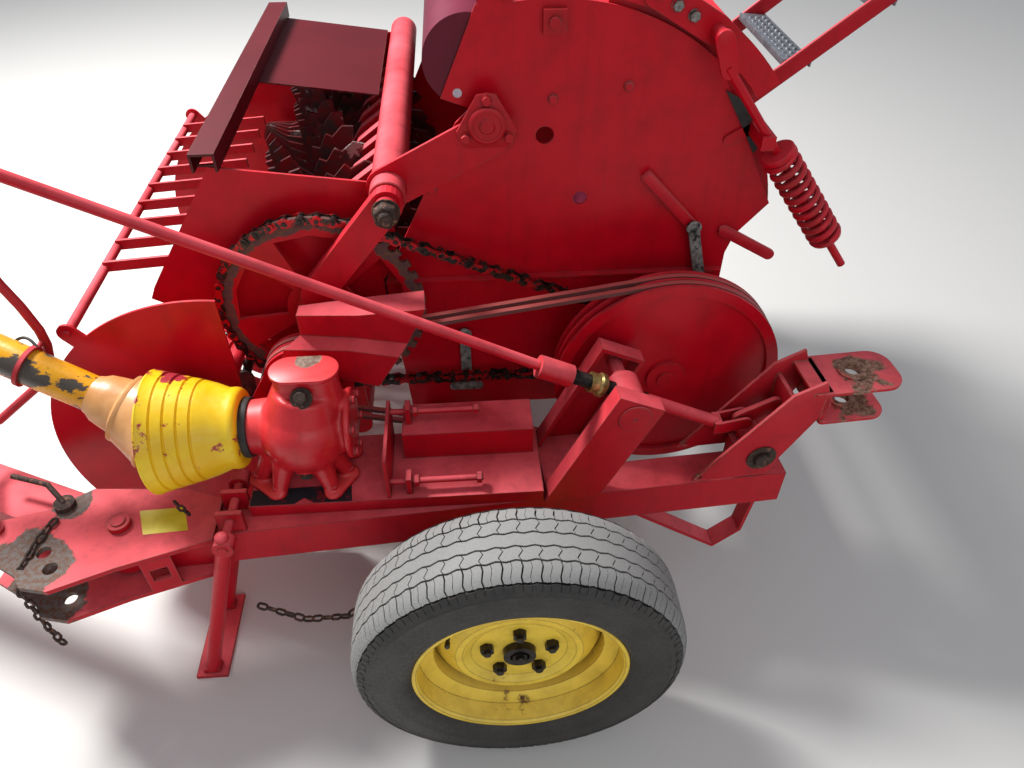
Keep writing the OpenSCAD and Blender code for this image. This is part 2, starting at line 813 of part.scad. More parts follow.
module pto_shaft() {
    color(steel) along_pto() {
        translate([0, 0, 2]) cylinder(r = 20, h = pto_l - 38);
        // Yoke at the rear, inside the bell
        translate([0, 0, 2]) cylinder(r = 34, h = 60);
        // Front yoke with its splined hub
        translate([0, 0, pto_l - 50]) difference() {
            union() {
                cylinder(r = 36, h = 34);
                for (s = [-1, 1]) translate([s > 0 ? 20 : -36, -22, 30]) cube([16, 44, 62]);
                translate([0, 0, 84]) rotate([0, 90, 0]) cylinder(r = 11, h = 88, center = true);
            }
        }
        translate([0, 0, pto_l + 12]) {
            for (s = [-1, 1]) translate([-22, s > 0 ? 20 : -36, 0]) cube([44, 16, 60]);
            translate([0, 0, 22]) rotate([90, 0, 0]) cylinder(r = 11, h = 88, center = true);
            difference() {
                translate([0, 0, 52]) cylinder(r = 36, h = 62);
                translate([0, 0, 60]) cylinder(r = pto_bore, h = 60);
            }
        }
    }
}

function unit(v) = v / norm(v);

// Round bar bent through a list of points, one closed body made of n-sided rings mitred at every bend
module bent(pts, r, n = 12) {
    last = len(pts) - 1;
    legs = [for (i = [0:last - 1]) unit(pts[i + 1] - pts[i])];
    rings = [for (i = [0:last]) let (t = unit(legs[max(i - 1, 0)] + legs[min(i, last - 1)]),
        b = unit([0, 1, 0] - t[1] * t), m = cross(b, t) / (t * legs[min(i, last - 1)]))
        for (j = [0:n - 1]) pts[i] + r * (cos(360 * j / n) * m + sin(360 * j / n) * b)];
    sides = [for (i = [0:last - 1], j = [0:n - 1]) let (a = i * n + j, c = i * n + (j + 1) % n)
        each [[a, a + n, c], [c, a + n, c + n]]];
    polyhedron(rings, concat([[for (j = [0:n - 1]) j]], sides, [[for (j = [n - 1:-1:0]) last * n + j]]));
}

module pto_hoop() {
    color(red) at_axle() {
        bent([[-1104, -650, beam_top + head_t + 5], [-1106, -640, 516], [-1150, -560, 540], [-1200, -450, 548],
            [-1190, hoop_y, 562], [-1151, hoop_y, 578], [-1034, hoop_y, 670], [-998, hoop_y, 706],
            [-974, hoop_y, 747], [-964, hoop_y, 788], [-964, hoop_y, 828], [-977, hoop_y, 890],
            [-994, hoop_y, 943], [-1014, hoop_y, 1024], [-1040, -440, 1200], [-1020, -505, 1310],
            [-1003, spin_y + 23, 1347]], 10);
        translate([-1104, -650, beam_top + head_t]) cylinder(r = 18, h = 6);
        // Ring that holds the shaft up
        rod([-964, hoop_y, 806], [-970, hoop_y - 22, 798], 5);
        // Ring round the crank rod
        difference() {
            rod([-1016, spin_y, 1355], [-992, spin_y, 1342.6], 30);
            rod([-1110, spin_y, 1403.4], [-900, spin_y, 1294.8], 13);
        }
    }
    color(red) along_pto() translate([0, 0, 318]) difference() {
        cylinder(r = 46, h = 9);
        translate([0, 0, -1]) cylinder(r = 39 + seat, h = 11);
    }
}

module crank_spindle() {
    u = [100, 778];
    color(dark) {
        at_axle() {
            rod([468, spin_y, 604], [u[0] + 20, spin_y, u[1] - 9], 14);
            // Universal joint
            rod([u[0] + 34, spin_y, u[1] - 18], [u[0] - 34, spin_y, u[1] + 14], 24);
            rod([u[0] - 20, spin_y, u[1] + 9], [-1148, spin_y, 1423], 11);
            // Crank arm and grip
            rod([-1148, spin_y, 1423], [-1110, spin_y + 30, 1586], 11);
            translate([-1148, spin_y, 1423]) sphere(r = 15);
            translate([-1110, spin_y + 30, 1586]) sphere(r = 17);
            rod([-1110, spin_y + 30, 1586], [-1238, spin_y + 30, 1640], 15);
            // Fork that ends clear of the hitch lug
            for (y = [spin_y + 13, spin_y - 20]) slab(y, 7) link([474, 600], [lug_x, lug_z], 30);
            box([460, 478], [spin_y - 20, spin_y + 20], [585, 615]);
        }
        on_beam() {
            bar_y(spin_x - beam_x, spin_z, 16, -2, 186);
            bar_y(spin_x - beam_x, spin_z, 36, 36, 104);
        }
    }
}

module rear_hitch() {
    x = hitch_x - beam_x;
    color(red) on_beam() {
        for (y = [-14, beam_w + 6]) slab(y, 8)
            translate([-beam_x, 0]) difference() {
                polygon([[414, 489], [598, 727], [664, 759], [689, 690], [609, 540], [590, 489]]);
                translate([430, 500]) circle(7);
            }
        bar_y(x, hitch_z, 14, -18, beam_w + 18);
        slab(46, 12) translate([-beam_x, 0]) difference() {
            union() {
                link([lug_x, lug_z], [lug_x + 62, lug_z + 28], 38);
                translate([lug_x + 50, lug_z + 10]) square([40, 40]);
            }
            translate([lug_x, lug_z]) circle(10);
        }
        translate([-beam_x, 0, 0]) box([lug_x + 82, lug_x + 92], [-7, beam_w + 7], [600, 700]);
        // Head of two plates that take the towed eye between them
        translate([-beam_x, 0, 0]) difference() {
            union() {
                box([640, 850], [-20, beam_w + 20], [hitch_top - 8, hitch_top]);
                box([672, 830], [-20, beam_w + 20], [hitch_top - 90, hitch_top - 82]);
                box([672, 684], [-14, beam_w + 14], [hitch_top - 90, hitch_top]);
                translate([hitch_pin_x, beam_w / 2, hitch_top - 1]) cylinder(r = 30, h = 7);
                translate([hitch_pin_x, beam_w / 2, hitch_top - 90]) cylinder(r = 30, h = 14);
            }
            translate([hitch_pin_x, beam_w / 2, 500]) cylinder(r = hitch_bore, h = 300);
        }
    }
}

module at_wheel(side) {
    translate([axle_x, side * wheel_y, axle_z]) rotate([-90 * side, 0, 0]) children();
}

// An outline of radius and height swept round Z in flat-sided sections, each side's middle at the true radius
module swept(outline, sides) {
    m = len(outline);
    corners = [for (i = [0:sides - 1], p = outline) let (t = 360 * (i + 0.5) / sides, r = p[0] / cos(180 / sides))
        [r * cos(t), r * sin(t), p[1]]];
    polyhedron(corners, [for (i = [0:sides - 1], j = [0:m - 1])
        let (k = (j + 1) % m, next = (i + 1) % sides) [i * m + j, i * m + k, next * m + k, next * m + j]]);
}

// Half of the tyre's outline from bead to crown: share of the height from rim to crown, distance in from the side
tyre_side = [[0.28, 0], [0.5, 0], [0.88, 14], [0.97, 26], [1, 46]];

module tyre() {
    h = tyre_w / 2;
    wall = tyre_r - rim_r;
    bead = [[rim_r - 8, 22], [rim_r + 0.5, 19]];
    half = concat(bead, [for (p = tyre_side) [rim_r + p[0] * wall, p[1]]]);
    inside = [[tyre_r - 18, 34], [rim_r - 8, 40]];
    color(dark) swept(concat([for (p = half) [p[0], p[1] - h]], [for (i = [len(half) - 1:-1:0]) [half[i][0],
        h - half[i][1]]], [[inside[1][0], h - inside[1][1]], [inside[0][0], h - inside[0][1]],
        [inside[0][0], inside[0][1] - h], [inside[1][0], inside[1][1] - h]]), tyre_sides);
}

module rim() {
    h = tyre_w / 2 - 15;
    color(yellow) difference() {
        union() {
            rotate_extrude($fn = 72) polygon([[rim_r, h], [rim_r - 8, h], [rim_r - 12, h - 6],
                [rim_r - 14, h - 44], [rim_r - 44, h - 56], [rim_r - 44, -h + 56], [rim_r - 14, -h + 44],
                [rim_r - 12, -h + 6], [rim_r - 8, -h], [rim_r, -h], [rim_r, -h + 3], [rim_r - 8.3, -h + 6],
                [rim_r - 10.5, -h + 46], [rim_r - 40.5, -h + 58.2], [rim_r - 40.5, h - 58.2],
                [rim_r - 10.5, h - 46],
                [rim_r - 8.3, h - 6], [rim_r, h - 3]]);
            rotate_extrude($fn = 72) polygon([[0, disc_off], [100, disc_off], [118, disc_off + 10],
                [132, disc_off + 10], [162, disc_off - 14], [178, disc_off - 34], [178, disc_off - 42],
                [158, disc_off - 22], [130, disc_off + 2], [118, disc_off + 2], [100, disc_off - 8],
                [0, disc_off - 8]]);
        }
        translate([0, 0, -200]) cylinder(r = disc_hole_r, h = 400);
        for (i = [0:studs - 1]) rotate(i * 360 / studs + 18)
            translate([stud_pcd / 2, 0, -200]) cylinder(r = 8 + seat, h = 400);
    }
}

module hub() {
    color(steel) difference() {
        union() {
            translate([0, 0, disc_off - 8 - 14 - seat]) cylinder(r = hub_r + 28, h = 14);
            translate([0, 0, disc_off - 8 - seat - hub_l]) cylinder(r = hub_r - 14, h = hub_l);
            translate([0, 0, disc_off - 24]) cylinder(r = disc_hole_r - seat, h = 40);
            for (i = [0:studs - 1]) rotate(i * 360 / studs + 18) translate([stud_pcd / 2, 0, disc_off - 24]) {
                cylinder(r = 8, h = 44);
                translate([0, 0, 24 + seat]) cylinder(r = 15, h = 13, $fn = 6);
            }
        }
        translate([0, 0, -200]) cylinder(r = stub_r + fit, h = 400);
    }
}

module left_tyre() { at_wheel(-1) tyre(); }
module left_rim() { at_wheel(-1) rim(); }
module left_hub() { at_wheel(-1) hub(); }
module right_tyre() { at_wheel(1) tyre(); }
module right_rim() { at_wheel(1) rim(); }
module right_hub() { at_wheel(1) hub(); }

// Outline of a pickup arm: rotor axis, rear tube and reel axis
module arm_outline() {
    difference() {
        union() {
            link([rotor_x, rotor_z], [reel_x, reel_z], 84);
            link([rotor_x, rotor_z], [back_x, back_z], 66);
            link([back_x, back_z], [reel_x, reel_z], 66);
            link([-500, 602], [carry_x, carry_z], 50);
        }
        translate([rotor_x, rotor_z]) circle(rotor_shaft + fit);
        translate([reel_x, reel_z]) circle(reel_shaft + fit);
    }
}

module end_disc() {
    difference() {
        translate([disc_x, disc_z]) circle(disc_r, $fn = 96);
        translate([-450, 0]) square(1000);
        translate([-600, 530]) square(1000);
    }
    link([disc_x - 236, disc_z + 292], [guard_x, guard_z], 44);
}

module pickup_frame() {
    color(red) at_axle() {
        for (y = [arm_y, far_arm_y]) slab(y, 10) arm_outline();
        for (y = [disc_y, disc_far]) slab(y, 6) difference() {
            end_disc();
            translate([guard_x, guard_z]) circle(guard_pin + fit);
        }
        bar_y(back_x, back_z, 30, arm_y, far_arm_y + 10);
        for (y = [[disc_y + 1, arm_y + 1], [far_arm_y + 9, disc_far + 1]])
            bar_y(carry_x, carry_z, 18, y[0], y[1]);
        // Sleeves round the reel's shaft ends
        for (y = [[disc_y + 1, arm_y + 1], [far_arm_y + 9, disc_far + 1]]) difference() {
            bar_y(reel_x, reel_z, 45, y[0], y[1]);
            bar_y(reel_x, reel_z, reel_shaft + 10, arm_y - 22, far_arm_y + 32);
        }
        // Stripper bands
        for (i = [0:tine_n - 2]) slab(tine_y0 + tine_pitch * (i + 0.5) - 22, 44) difference() {
            union() {
                translate([reel_x, reel_z]) circle(band_r);
                polygon([[reel_x + 60, reel_z + 180], [back_x + 10, back_z + 29], [back_x + 10, back_z - 29],
                    [reel_x + 60, reel_z - 180]]);
            }
            translate([reel_x, reel_z]) circle(band_r - 4);
            polygon([[reel_x + 60, reel_z + 175.5], [back_x + 10, back_z + 24.5],
                [back_x + 10, back_z - 24.5], [reel_x + 60, reel_z - 175.5]]);
        }
    }
}

module pickup_reel() {
    color(dark) at_axle() translate([reel_x, 0, reel_z]) {
        bar_y(0, 0, reel_shaft, arm_y - 14, far_arm_y + 20);
        for (y = [tine_y0 - 24, tine_y0 + tine_pitch * (tine_n - 1) + 8]) slab(y, 8) {
            for (i = [0:tine_bars - 1]) link([0, 0], bar_r * [cos(i * 360 / tine_bars), sin(i * 360 / tine_bars)], 44);
        }
        for (i = [0:tine_bars - 1]) {
            a = i * 360 / tine_bars;
            bar_y(bar_r * cos(a), bar_r * sin(a), 12, tine_y0 - 24, tine_y0 + tine_pitch * (tine_n - 1) + 16);
            for (j = [0:tine_n - 1]) translate([0, tine_y0 + tine_pitch * j, 0]) rotate([0, -a, 0])
                translate([bar_r, 0, 0]) rotate([0, 90, 0]) cylinder(r = 4, h = tine_r - bar_r, $fn = 8);
        }
    }
}

module wind_guard() {
    color(dark) at_axle() {
        bar_y(guard_x, guard_z, 11, disc_y + 7, disc_far - 1);
        bar_y(guard_x, guard_z, guard_pin, disc_y - 6, disc_far + 12);
        for (i = [0:comb_tines - 1]) slab(comb_y0 + comb_pitch * i, 8)
            strip([guard_x, guard_z + 4], [guard_x + comb_l, guard_z + 22], 26);
    }
}

// A rotor disc with hooked teeth
module star() {
    difference() {
        polygon([for (i = [0:star_teeth - 1]) for (p = [[0, rotor_r], [6, rotor_r - 4], [12, rotor_r - 34],
            [16, rotor_r - 26], [22, rotor_r - 62], [27, rotor_r - 54], [36, rotor_r - 92], [43, rotor_r - 60]])
            p[1] * [cos(i * 360 / star_teeth + p[0]), sin(i * 360 / star_teeth + p[0])]]);
        circle(80);
    }
}

module feed_rotor() {
    color(dark) at_axle() translate([rotor_x, 0, rotor_z]) {
        bar_y(0, 0, rotor_shaft, chain_y - 18, far_y + plate_t + 30);
        drum(0, 0, 82, star_y0 - 16, star_y0 + star_pitch * (star_n - 1) + 24);
        for (i = [0:star_n - 1]) slab(star_y0 + star_pitch * i, 8) rotate(7.5 * i) star();
    }
}

// Part of a ring between two angles
module ring_part(r0, r1, a, b) {
    c = [chamber_x, chamber_z];
    polygon(concat(arc(c, r1, a, b, 28), arc(c, r0, b, a, 28)));
}

module tailgate() {
    y0 = plate_y - gate_gap - plate_t;
    y1 = far_y + gate_gap;
    color(red) at_axle() {
        // Outer side plates with hinge eyes and pins
        for (y = [y0, y1]) slab(y, plate_t) {
            ring_part(gate_r, gate_r + 50, 38, 99);
            link([gate_x, gate_z], [gate_x + 40, gate_z - 22], 60);
        }
        bar_y(gate_x, gate_z, pin_r, y0 - 10, inner_y);
        bar_y(gate_x, gate_z, pin_r, far_inner, y1 + 16);
        // Beams across, inner webs and the skin
        for (a = [40, 66]) slab(y0 + 1, y1 - y0 + 4) ring_part(gate_r + 2, gate_r + 48, a, a + 6);
        for (y = [inner_y + gate_gap, far_inner - gate_gap - 6]) slab(y, 6) {
            ring_part(340, 424, -34, 10);
            ring_part(340, 512, 9, 78);
            ring_part(508, gate_r + 20, 38, 78);
        }
        slab(inner_y + gate_gap + 1, far_inner - inner_y - 2 * gate_gap - 2) ring_part(508, 512, 14, 95);
        // Arm with three bolts and the spring's pin
        slab(y0 - 12, 13) link([420, 1343], [300, 1412], 56);
        bar_y(420, 1343, 14, -296, y0 - 6);
        for (p = [[372, 1371], [336, 1391], [300, 1412]]) bar_y(p[0], p[1], 11, y0 - 20, y0 - 6);
        // Lugs for the ladder
        for (y = ladder_y) slab(y + 22, 10) difference() {
            link([ladder_x - 56, ladder_z - 14], [ladder_x, ladder_z], 50);
            translate([ladder_x, ladder_z]) circle(10 + fit);
        }
    }
}

module gate_rollers() {
    // Angle and distance of each roller from the chamber's middle
    color(steel) at_axle() for (p = [[-20, 380], [8, 400], [40, 440], [68, 440]])
        drum(chamber_x + p[1] * cos(p[0]), chamber_z + p[1] * sin(p[0]), 60, inner_y + gate_gap + 6 + seat,
            far_inner - gate_gap - 6 - seat);
}

module ladder() {
    c = [ladder_x, ladder_z];
    e = c + ladder_l * [cos(39), sin(39)];
    color(steel) at_axle() {
        for (y = ladder_y) slab(y, 8) link(c, e, 40);
        for (y = ladder_y) bar_y(ladder_x, ladder_z, 10, y - 2, y + 34);
        for (t = [0.16, 0.42, 0.68, 0.94]) slab(ladder_y[0] + 7, ladder_y[1] - ladder_y[0] - 6)
            translate(c + t * (e - c)) rotate(-4) square([70, 5], center = true);
    }
}

frame();
drawbar_head();
gear_platform();
trunnion_frame();
gearbox();
small_pulley();
belt_guard();
drive_belts();
big_pulley();
drive_sprocket();
feed_sprocket();
drive_chain();
left_plate();
right_plate();
strut();
cross_tube();
bearings();
chamber_rollers();
hood();
left_intake();
right_intake();
spring_bracket();
gate_spring();
latches();
pto_guard();
pto_hoop();
lock_pin();
crank_spindle();
tongue();
left_tyre();
left_rim();
left_hub();
right_tyre();
right_rim();
right_hub();
parking_stand();
pickup_frame();
pickup_reel();
wind_guard();
feed_rotor();
tailgate();
gate_rollers();
ladder();
rear_hitch();
pto_shaft();
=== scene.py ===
# %% [markdown]
# # A small round baler, dressed for its portrait
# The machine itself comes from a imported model: every plate, shaft and wheel is already in its place, in
# metres, with the ground at z = 0, the rear along +X and the machine's right-hand side along +Y. Nothing
# of it is moved here. This notebook paints it, adds the small pieces that a workshop bolts on last, and
# lights it.

# %% Load the machine
import math
import bmesh
import bpy
from mathutils import Matrix, Vector


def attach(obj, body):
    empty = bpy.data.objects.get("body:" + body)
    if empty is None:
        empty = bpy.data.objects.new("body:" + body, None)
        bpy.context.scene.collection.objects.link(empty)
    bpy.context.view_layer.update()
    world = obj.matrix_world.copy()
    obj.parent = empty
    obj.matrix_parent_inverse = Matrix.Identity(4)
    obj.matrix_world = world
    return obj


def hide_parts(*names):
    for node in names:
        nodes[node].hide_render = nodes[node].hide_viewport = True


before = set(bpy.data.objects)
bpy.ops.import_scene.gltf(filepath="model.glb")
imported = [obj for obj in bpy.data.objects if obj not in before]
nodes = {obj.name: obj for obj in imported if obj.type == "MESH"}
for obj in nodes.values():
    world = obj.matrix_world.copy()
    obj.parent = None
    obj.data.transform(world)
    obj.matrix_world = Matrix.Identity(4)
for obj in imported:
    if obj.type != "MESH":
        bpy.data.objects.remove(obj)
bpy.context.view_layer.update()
scene = bpy.context.scene
AXLE_X = 0.275  # how far behind the middle of the machine the wheel axle lies

# %% [markdown]
# ## The camera
# The picture was taken by someone standing beside the left wheel with a phone held at head height and
# tipped well down. A phone's main lens is near 27 mm on a full frame. The place and the tilt follow from
# the wheel, which is a circle of known size, and from the ground under it.

# %% Set the camera
CAMERA_PLACE = (AXLE_X - 0.0734, -1.7407, 1.8166)
CAMERA_TILT = 42.0    # degrees below the horizon
CAMERA_TURN = -4.1    # degrees, to the right of straight across the machine
CAMERA_LENS = 27.07   # millimetres on a 36 mm wide frame

camera_data = bpy.data.cameras.new("camera")
camera_data.lens = CAMERA_LENS
camera_data.clip_start = 0.05
camera = bpy.data.objects.new("camera", camera_data)
camera.location = CAMERA_PLACE
camera.rotation_euler = (math.radians(90 - CAMERA_TILT), 0, math.radians(CAMERA_TURN))
scene.collection.objects.link(camera)
scene.camera = camera

# %% [markdown]
# ## Light and floor
# A large soft lamp stands high beyond the machine's front right corner, where the sun was: tops and the ends
# of tubes catch it, and the faces towards the camera lie in open shade. A weaker lamp on the camera's side
# fills that shade.

# %% Light
scene.view_settings.view_transform = "Standard"
world = bpy.data.worlds.new("studio")
scene.world = world
world.use_nodes = True
world.node_tree.nodes["Background"].inputs["Color"].default_value = (0.86, 0.9, 1.0, 1)
world.node_tree.nodes["Background"].inputs["Strength"].default_value = 0.4


def softbox(name, place, target, size, power):
    """An area lamp of that size in metres and power in watts, aimed at a point."""
    data = bpy.data.lights.new(name, "AREA")
    data.size = size
    data.energy = power
    lamp = bpy.data.objects.new(name, data)
    lamp.location = place
    lamp.rotation_euler = (Vector(target) - Vector(place)).to_track_quat("-Z", "Y").to_euler()
    scene.collection.objects.link(lamp)
    return lamp


softbox("key", (-2.4, 1.6, 4.4), (0, 0, 0.5), 1.2, 430)
softbox("fill", (1.2, -4.0, 2.6), (0, 0, 0.6), 3.0, 36)

# %% [markdown]
# ## Helpers for finishes
# A colour picker shows sRGB values and Blender computes in linear light, so one function turns hex codes
# into Blender's colours. One more function adds a shader node, sets it and links it, so that a material
# reads as a list of steps.

# %% Colour and node helpers
def linear(code):
    """A Blender colour from the hex code that a colour picker shows."""
    parts = [int(code[i:i + 2], 16) / 255 for i in (1, 3, 5)]
    return [c / 12.92 if c < 0.04045 else ((c + 0.055) / 1.055) ** 2.4 for c in parts] + [1]


def add(tree, kind, inputs, out=0, **settings):
    """Adds one shader node, sets it, sets or links its inputs, and gives one of its outputs."""
    node = tree.nodes.new("ShaderNode" + kind)
    for key, value in settings.items():
        setattr(node, key, value)
    for key, value in inputs.items():
        if isinstance(value, bpy.types.NodeSocket):
            tree.links.new(value, node.inputs[key])
        else:
            node.inputs[key].default_value = value
    return node.outputs[out]


def noise(tree, place, size, detail, rough=0.5):
    """Noise with features of that many millimetres."""
    return add(tree, "TexNoise", {"Vector": place, "Scale": 1000 / size, "Detail": detail,
                                  "Roughness": rough})


def ramp(tree, value, low, high, bottom=0.0, top=1.0):
    """A value carried from the range low to high into bottom to top, and held at its ends."""
    ends = {"From Min": low, "From Max": high, "To Min": bottom, "To Max": top}
    return add(tree, "MapRange", {"Value": value} | ends)


def blend(tree, share, first, second):
    """The second colour over the first, by that share."""
    return add(tree, "Mix", {0: share, 6: first, 7: second}, out=2, data_type="RGBA")


def new_material(name):
    """A material with a bare Principled shader."""
    material = bpy.data.materials.new(name)
    material.use_nodes = True
    return material, material.node_tree, material.node_tree.nodes["Principled BSDF"]


def at(x, y, z):
    """A place in millimetres: behind the wheel axle, right of the middle, above the ground."""
    return Vector((x / 1000 + AXLE_X, y / 1000, z / 1000))


def placed(x, y, z):
    """A matrix that moves the origin to such a place."""
    return Matrix.Translation(at(x, y, z))


floor_mat, tree, shader = new_material("floor_paper")
shader.inputs["Base Color"].default_value = linear("#DAD8D3")
shader.inputs["Roughness"].default_value = 0.9
bm = bmesh.new()
bmesh.ops.create_grid(bm, x_segments=1, y_segments=1, size=12)
floor_mesh = bpy.data.meshes.new("floor")
bm.to_mesh(floor_mesh)
bm.free()
floor_mesh.materials.append(floor_mat)
floor = bpy.data.objects.new("floor", floor_mesh)
scene.collection.objects.link(floor)

# %% [markdown]
# ## Painted steel
# Nearly everything is mild steel under thick red enamel that was brushed and sprayed over decades. Faces
# that point up are mixed towards a salmon pink, which is partly the paint's chalking and partly painted
# sunlight on the tops; the other faces stay deep and half glossy.
# Paint breaks first on edges: the Bevel node gives a rounded normal there, and where it differs from the
# true normal the film is taken off, broken up by noise. Ambient occlusion finds the corners, and they are
# darkened: painted shade, together with the oil and dust that settle there. All patterns are sized in
# millimetres: clouds of fading near 280, blots near 60, flecks near 10.

# %% Enamel
def enamel(name, fresh, chalked_and_sunlit, rough=0.36, chips=0.5, grime_and_corner_shade=0.6, grain=0.0, bare="#4D443F", worn=(),
           gloss=0.22):
    """Aged enamel on steel. worn lists places rubbed bare: centre, axes that count, start and full distance.

    The distances are in metres, and a smaller full distance leaves more of the place to the blots."""
    material, tree, shader = new_material(name)
    place = add(tree, "TexCoord", {}, out="Object")
    normal = add(tree, "NewGeometry", {}, out="Normal")
    clouds = noise(tree, place, 280, 3.0)
    blots = noise(tree, place, 60, 6.0, 0.62)
    flecks = noise(tree, place, 10, 5.0, 0.65)
    facing = add(tree, "SeparateXYZ", {"Vector": normal}, out="Z")
    # Upward faces get the second colour: chalked paint together with painted sunlight on the tops
    lit_and_chalked_tops = ramp(tree, facing, 0.05, 0.8)
    patch = ramp(tree, clouds, 0.35, 0.62, 0.45)
    chalking_and_painted_sun = add(tree, "Math", {0: lit_and_chalked_tops, 1: patch}, operation="MULTIPLY")
    paint = blend(tree, chalking_and_painted_sun, linear(fresh), linear(chalked_and_sunlit))
    # Uneven film: darker where the brush left it thick
    thick = ramp(tree, blots, 0.45, 0.75, top=0.3)
    paint = blend(tree, thick, paint, linear("#5E0710"))
    # Edges rubbed down to metal
    rounded = add(tree, "Bevel", {"Radius": 0.004}, samples=2)
    agree = add(tree, "VectorMath", {0: rounded, 1: normal}, out="Value", operation="DOT_PRODUCT")
    edge = ramp(tree, agree, 0.99, 0.86, top=0.55 * chips)
    broken = add(tree, "Math", {0: edge, 1: blots, 2: 0.0}, operation="ADD")
    wear = ramp(tree, broken, 0.74, 0.78)
    spots = ramp(tree, flecks, 0.8 - 0.1 * chips, 0.82 - 0.1 * chips)
    wear = add(tree, "Math", {0: wear, 1: spots}, operation="MAXIMUM")
    for centre, axes, start, full in worn:
        flat = add(tree, "VectorMath", {0: place, 1: axes}, operation="MULTIPLY")
        middle = tuple(a * b for a, b in zip(centre, axes))
        distance = add(tree, "VectorMath", {0: flat, 1: middle}, out="Value", operation="DISTANCE")
        zone = ramp(tree, distance, start, full)
        ragged = add(tree, "Math", {0: zone, 1: blots}, operation="ADD")
        bald = ramp(tree, ragged, 0.98, 1.04)
        wear = add(tree, "Math", {0: wear, 1: bald}, operation="MAXIMUM")
    rusty = ramp(tree, flecks, 0.4, 0.6)
    metal = blend(tree, rusty, linear(bare), linear("#6A4A3A"))
    colour = blend(tree, wear, paint, metal)
    # Painted shade with oil and dust in corners found by ambient occlusion, and thin dirt streaks down
    # upright faces
    open_air = add(tree, "AmbientOcclusion", {"Distance": 0.045}, out="AO", samples=2)
    corner_oil_and_shade = ramp(tree, open_air, 0.6, 0.15, top=grime_and_corner_shade)
    tall = add(tree, "Mapping", {"Vector": place, "Scale": (1, 1, 0.08)})
    streaks = noise(tree, tall, 25, 3.0)
    runs = ramp(tree, streaks, 0.55, 0.8, top=0.35 * grime_and_corner_shade)
    streaks_and_corner_shade = add(tree, "Math", {0: corner_oil_and_shade, 1: runs}, operation="MAXIMUM")
    # The dark brown goes on both as painted shade in corners and as dirt in the streaks
    colour = blend(tree, streaks_and_corner_shade, colour, linear("#241512"))
    tree.links.new(colour, shader.inputs["Base Color"])
    dull = add(tree, "Mix", {0: chalking_and_painted_sun, 2: rough, 3: rough + 0.2}, data_type="FLOAT")
    dull = add(tree, "Mix", {0: wear, 2: dull, 3: 0.7}, data_type="FLOAT")
    tree.links.new(dull, shader.inputs["Roughness"])
    film = add(tree, "Math", {0: wear, 1: -1.0, 2: blots}, operation="MULTIPLY_ADD")
    sand = noise(tree, place, 3, 3.0)
    height = add(tree, "Math", {0: sand, 1: 0.08 + grain, 2: film}, operation="MULTIPLY_ADD")
    dents = add(tree, "Bump", {"Strength": 0.35, "Distance": 0.0016, "Height": clouds})
    bump = add(tree, "Bump", {"Strength": 0.6, "Distance": 0.0005, "Height": height, "Normal": dents})
    tree.links.new(bump, shader.inputs["Normal"])
    shader.inputs["Specular IOR Level"].default_value = gloss
    return material


ROTOR_AXIS = at(-400, 0, 770)
ACROSS = (1, 0, 1)      # distances measured in the upright plane along the machine
AROUND = (1, 1, 0)      # distances measured on the flat
# Each enamel's second colour is its chalked tone with painted sunlight mixed in, laid on faces that point up
sheet_red = enamel("sheet_enamel", "#BE061C", "#D83440", rough=0.32, chips=0.4, grime_and_corner_shade=0.5)
beam_red = enamel("beam_enamel", "#BC0C20", "#F2646C", rough=0.42, chips=0.8, grime_and_corner_shade=0.6)
sprocket_red = enamel("sprocket_enamel", "#B60A1C", "#CC343C", chips=0.4, grime_and_corner_shade=0.5, bare="#5A3E42",
                      worn=[(ROTOR_AXIS, ACROSS, 0.165, 0.235)])
gearbox_red = enamel("casting_enamel", "#C41A26", "#EE4A4A", rough=0.26, gloss=0.4, chips=0.3, grime_and_corner_shade=0.7,
                     grain=0.25,
                     bare="#8A7868", worn=[(at(-404, -512, 801), (1, 1, 1), 0.045, 0.01)])
drawbar_red = enamel("drawbar_enamel", "#BC1022", "#F2686E", rough=0.5, chips=1.0, grime_and_corner_shade=0.6, bare="#6E6864",
                     worn=[(at(-1005, -745, 0), AROUND, 0.13, 0.05),
                           (at(-964, -579, 0), AROUND, 0.07, 0.02)])
hitch_red = enamel("hitch_enamel", "#BC1022", "#F4686E", rough=0.5, chips=1.0, grime_and_corner_shade=0.6, bare="#A5826E",
                   worn=[(at(760, -556, 0), AROUND, 0.13, -0.02)])
# A darker copy of the sheet enamel for the hood: painted shade, standing in for the shade the hood lies in
painted_shade_red = enamel("painted_shade_sheet_enamel", "#4E0410", "#5C0A16", rough=0.4, chips=0.5, grime_and_corner_shade=0.6)
# Dark purple red on the chamber rollers: a painted sky reflection and painted shade over the rollers' own
# worn red
roller_red_painted_reflection = enamel("roller_enamel_painted_reflection", "#601226", "#78203A", rough=0.35, chips=0.3, grime_and_corner_shade=0.7)
print("enamels made:", len([m for m in bpy.data.materials if "enamel" in m.name]))

# %% [markdown]
# ## Metal, rubber and plastic
# Chain and shafts are bare steel under black grease; the sides of the chain links caught red overspray.
# Links of the safety chains are rusted through to a dry brown. Rubber is never black outdoors: it greys
# with dust on what faces up. The yellow guards are polyethylene, sun bleached on one side and flecked
# with the same red overspray.

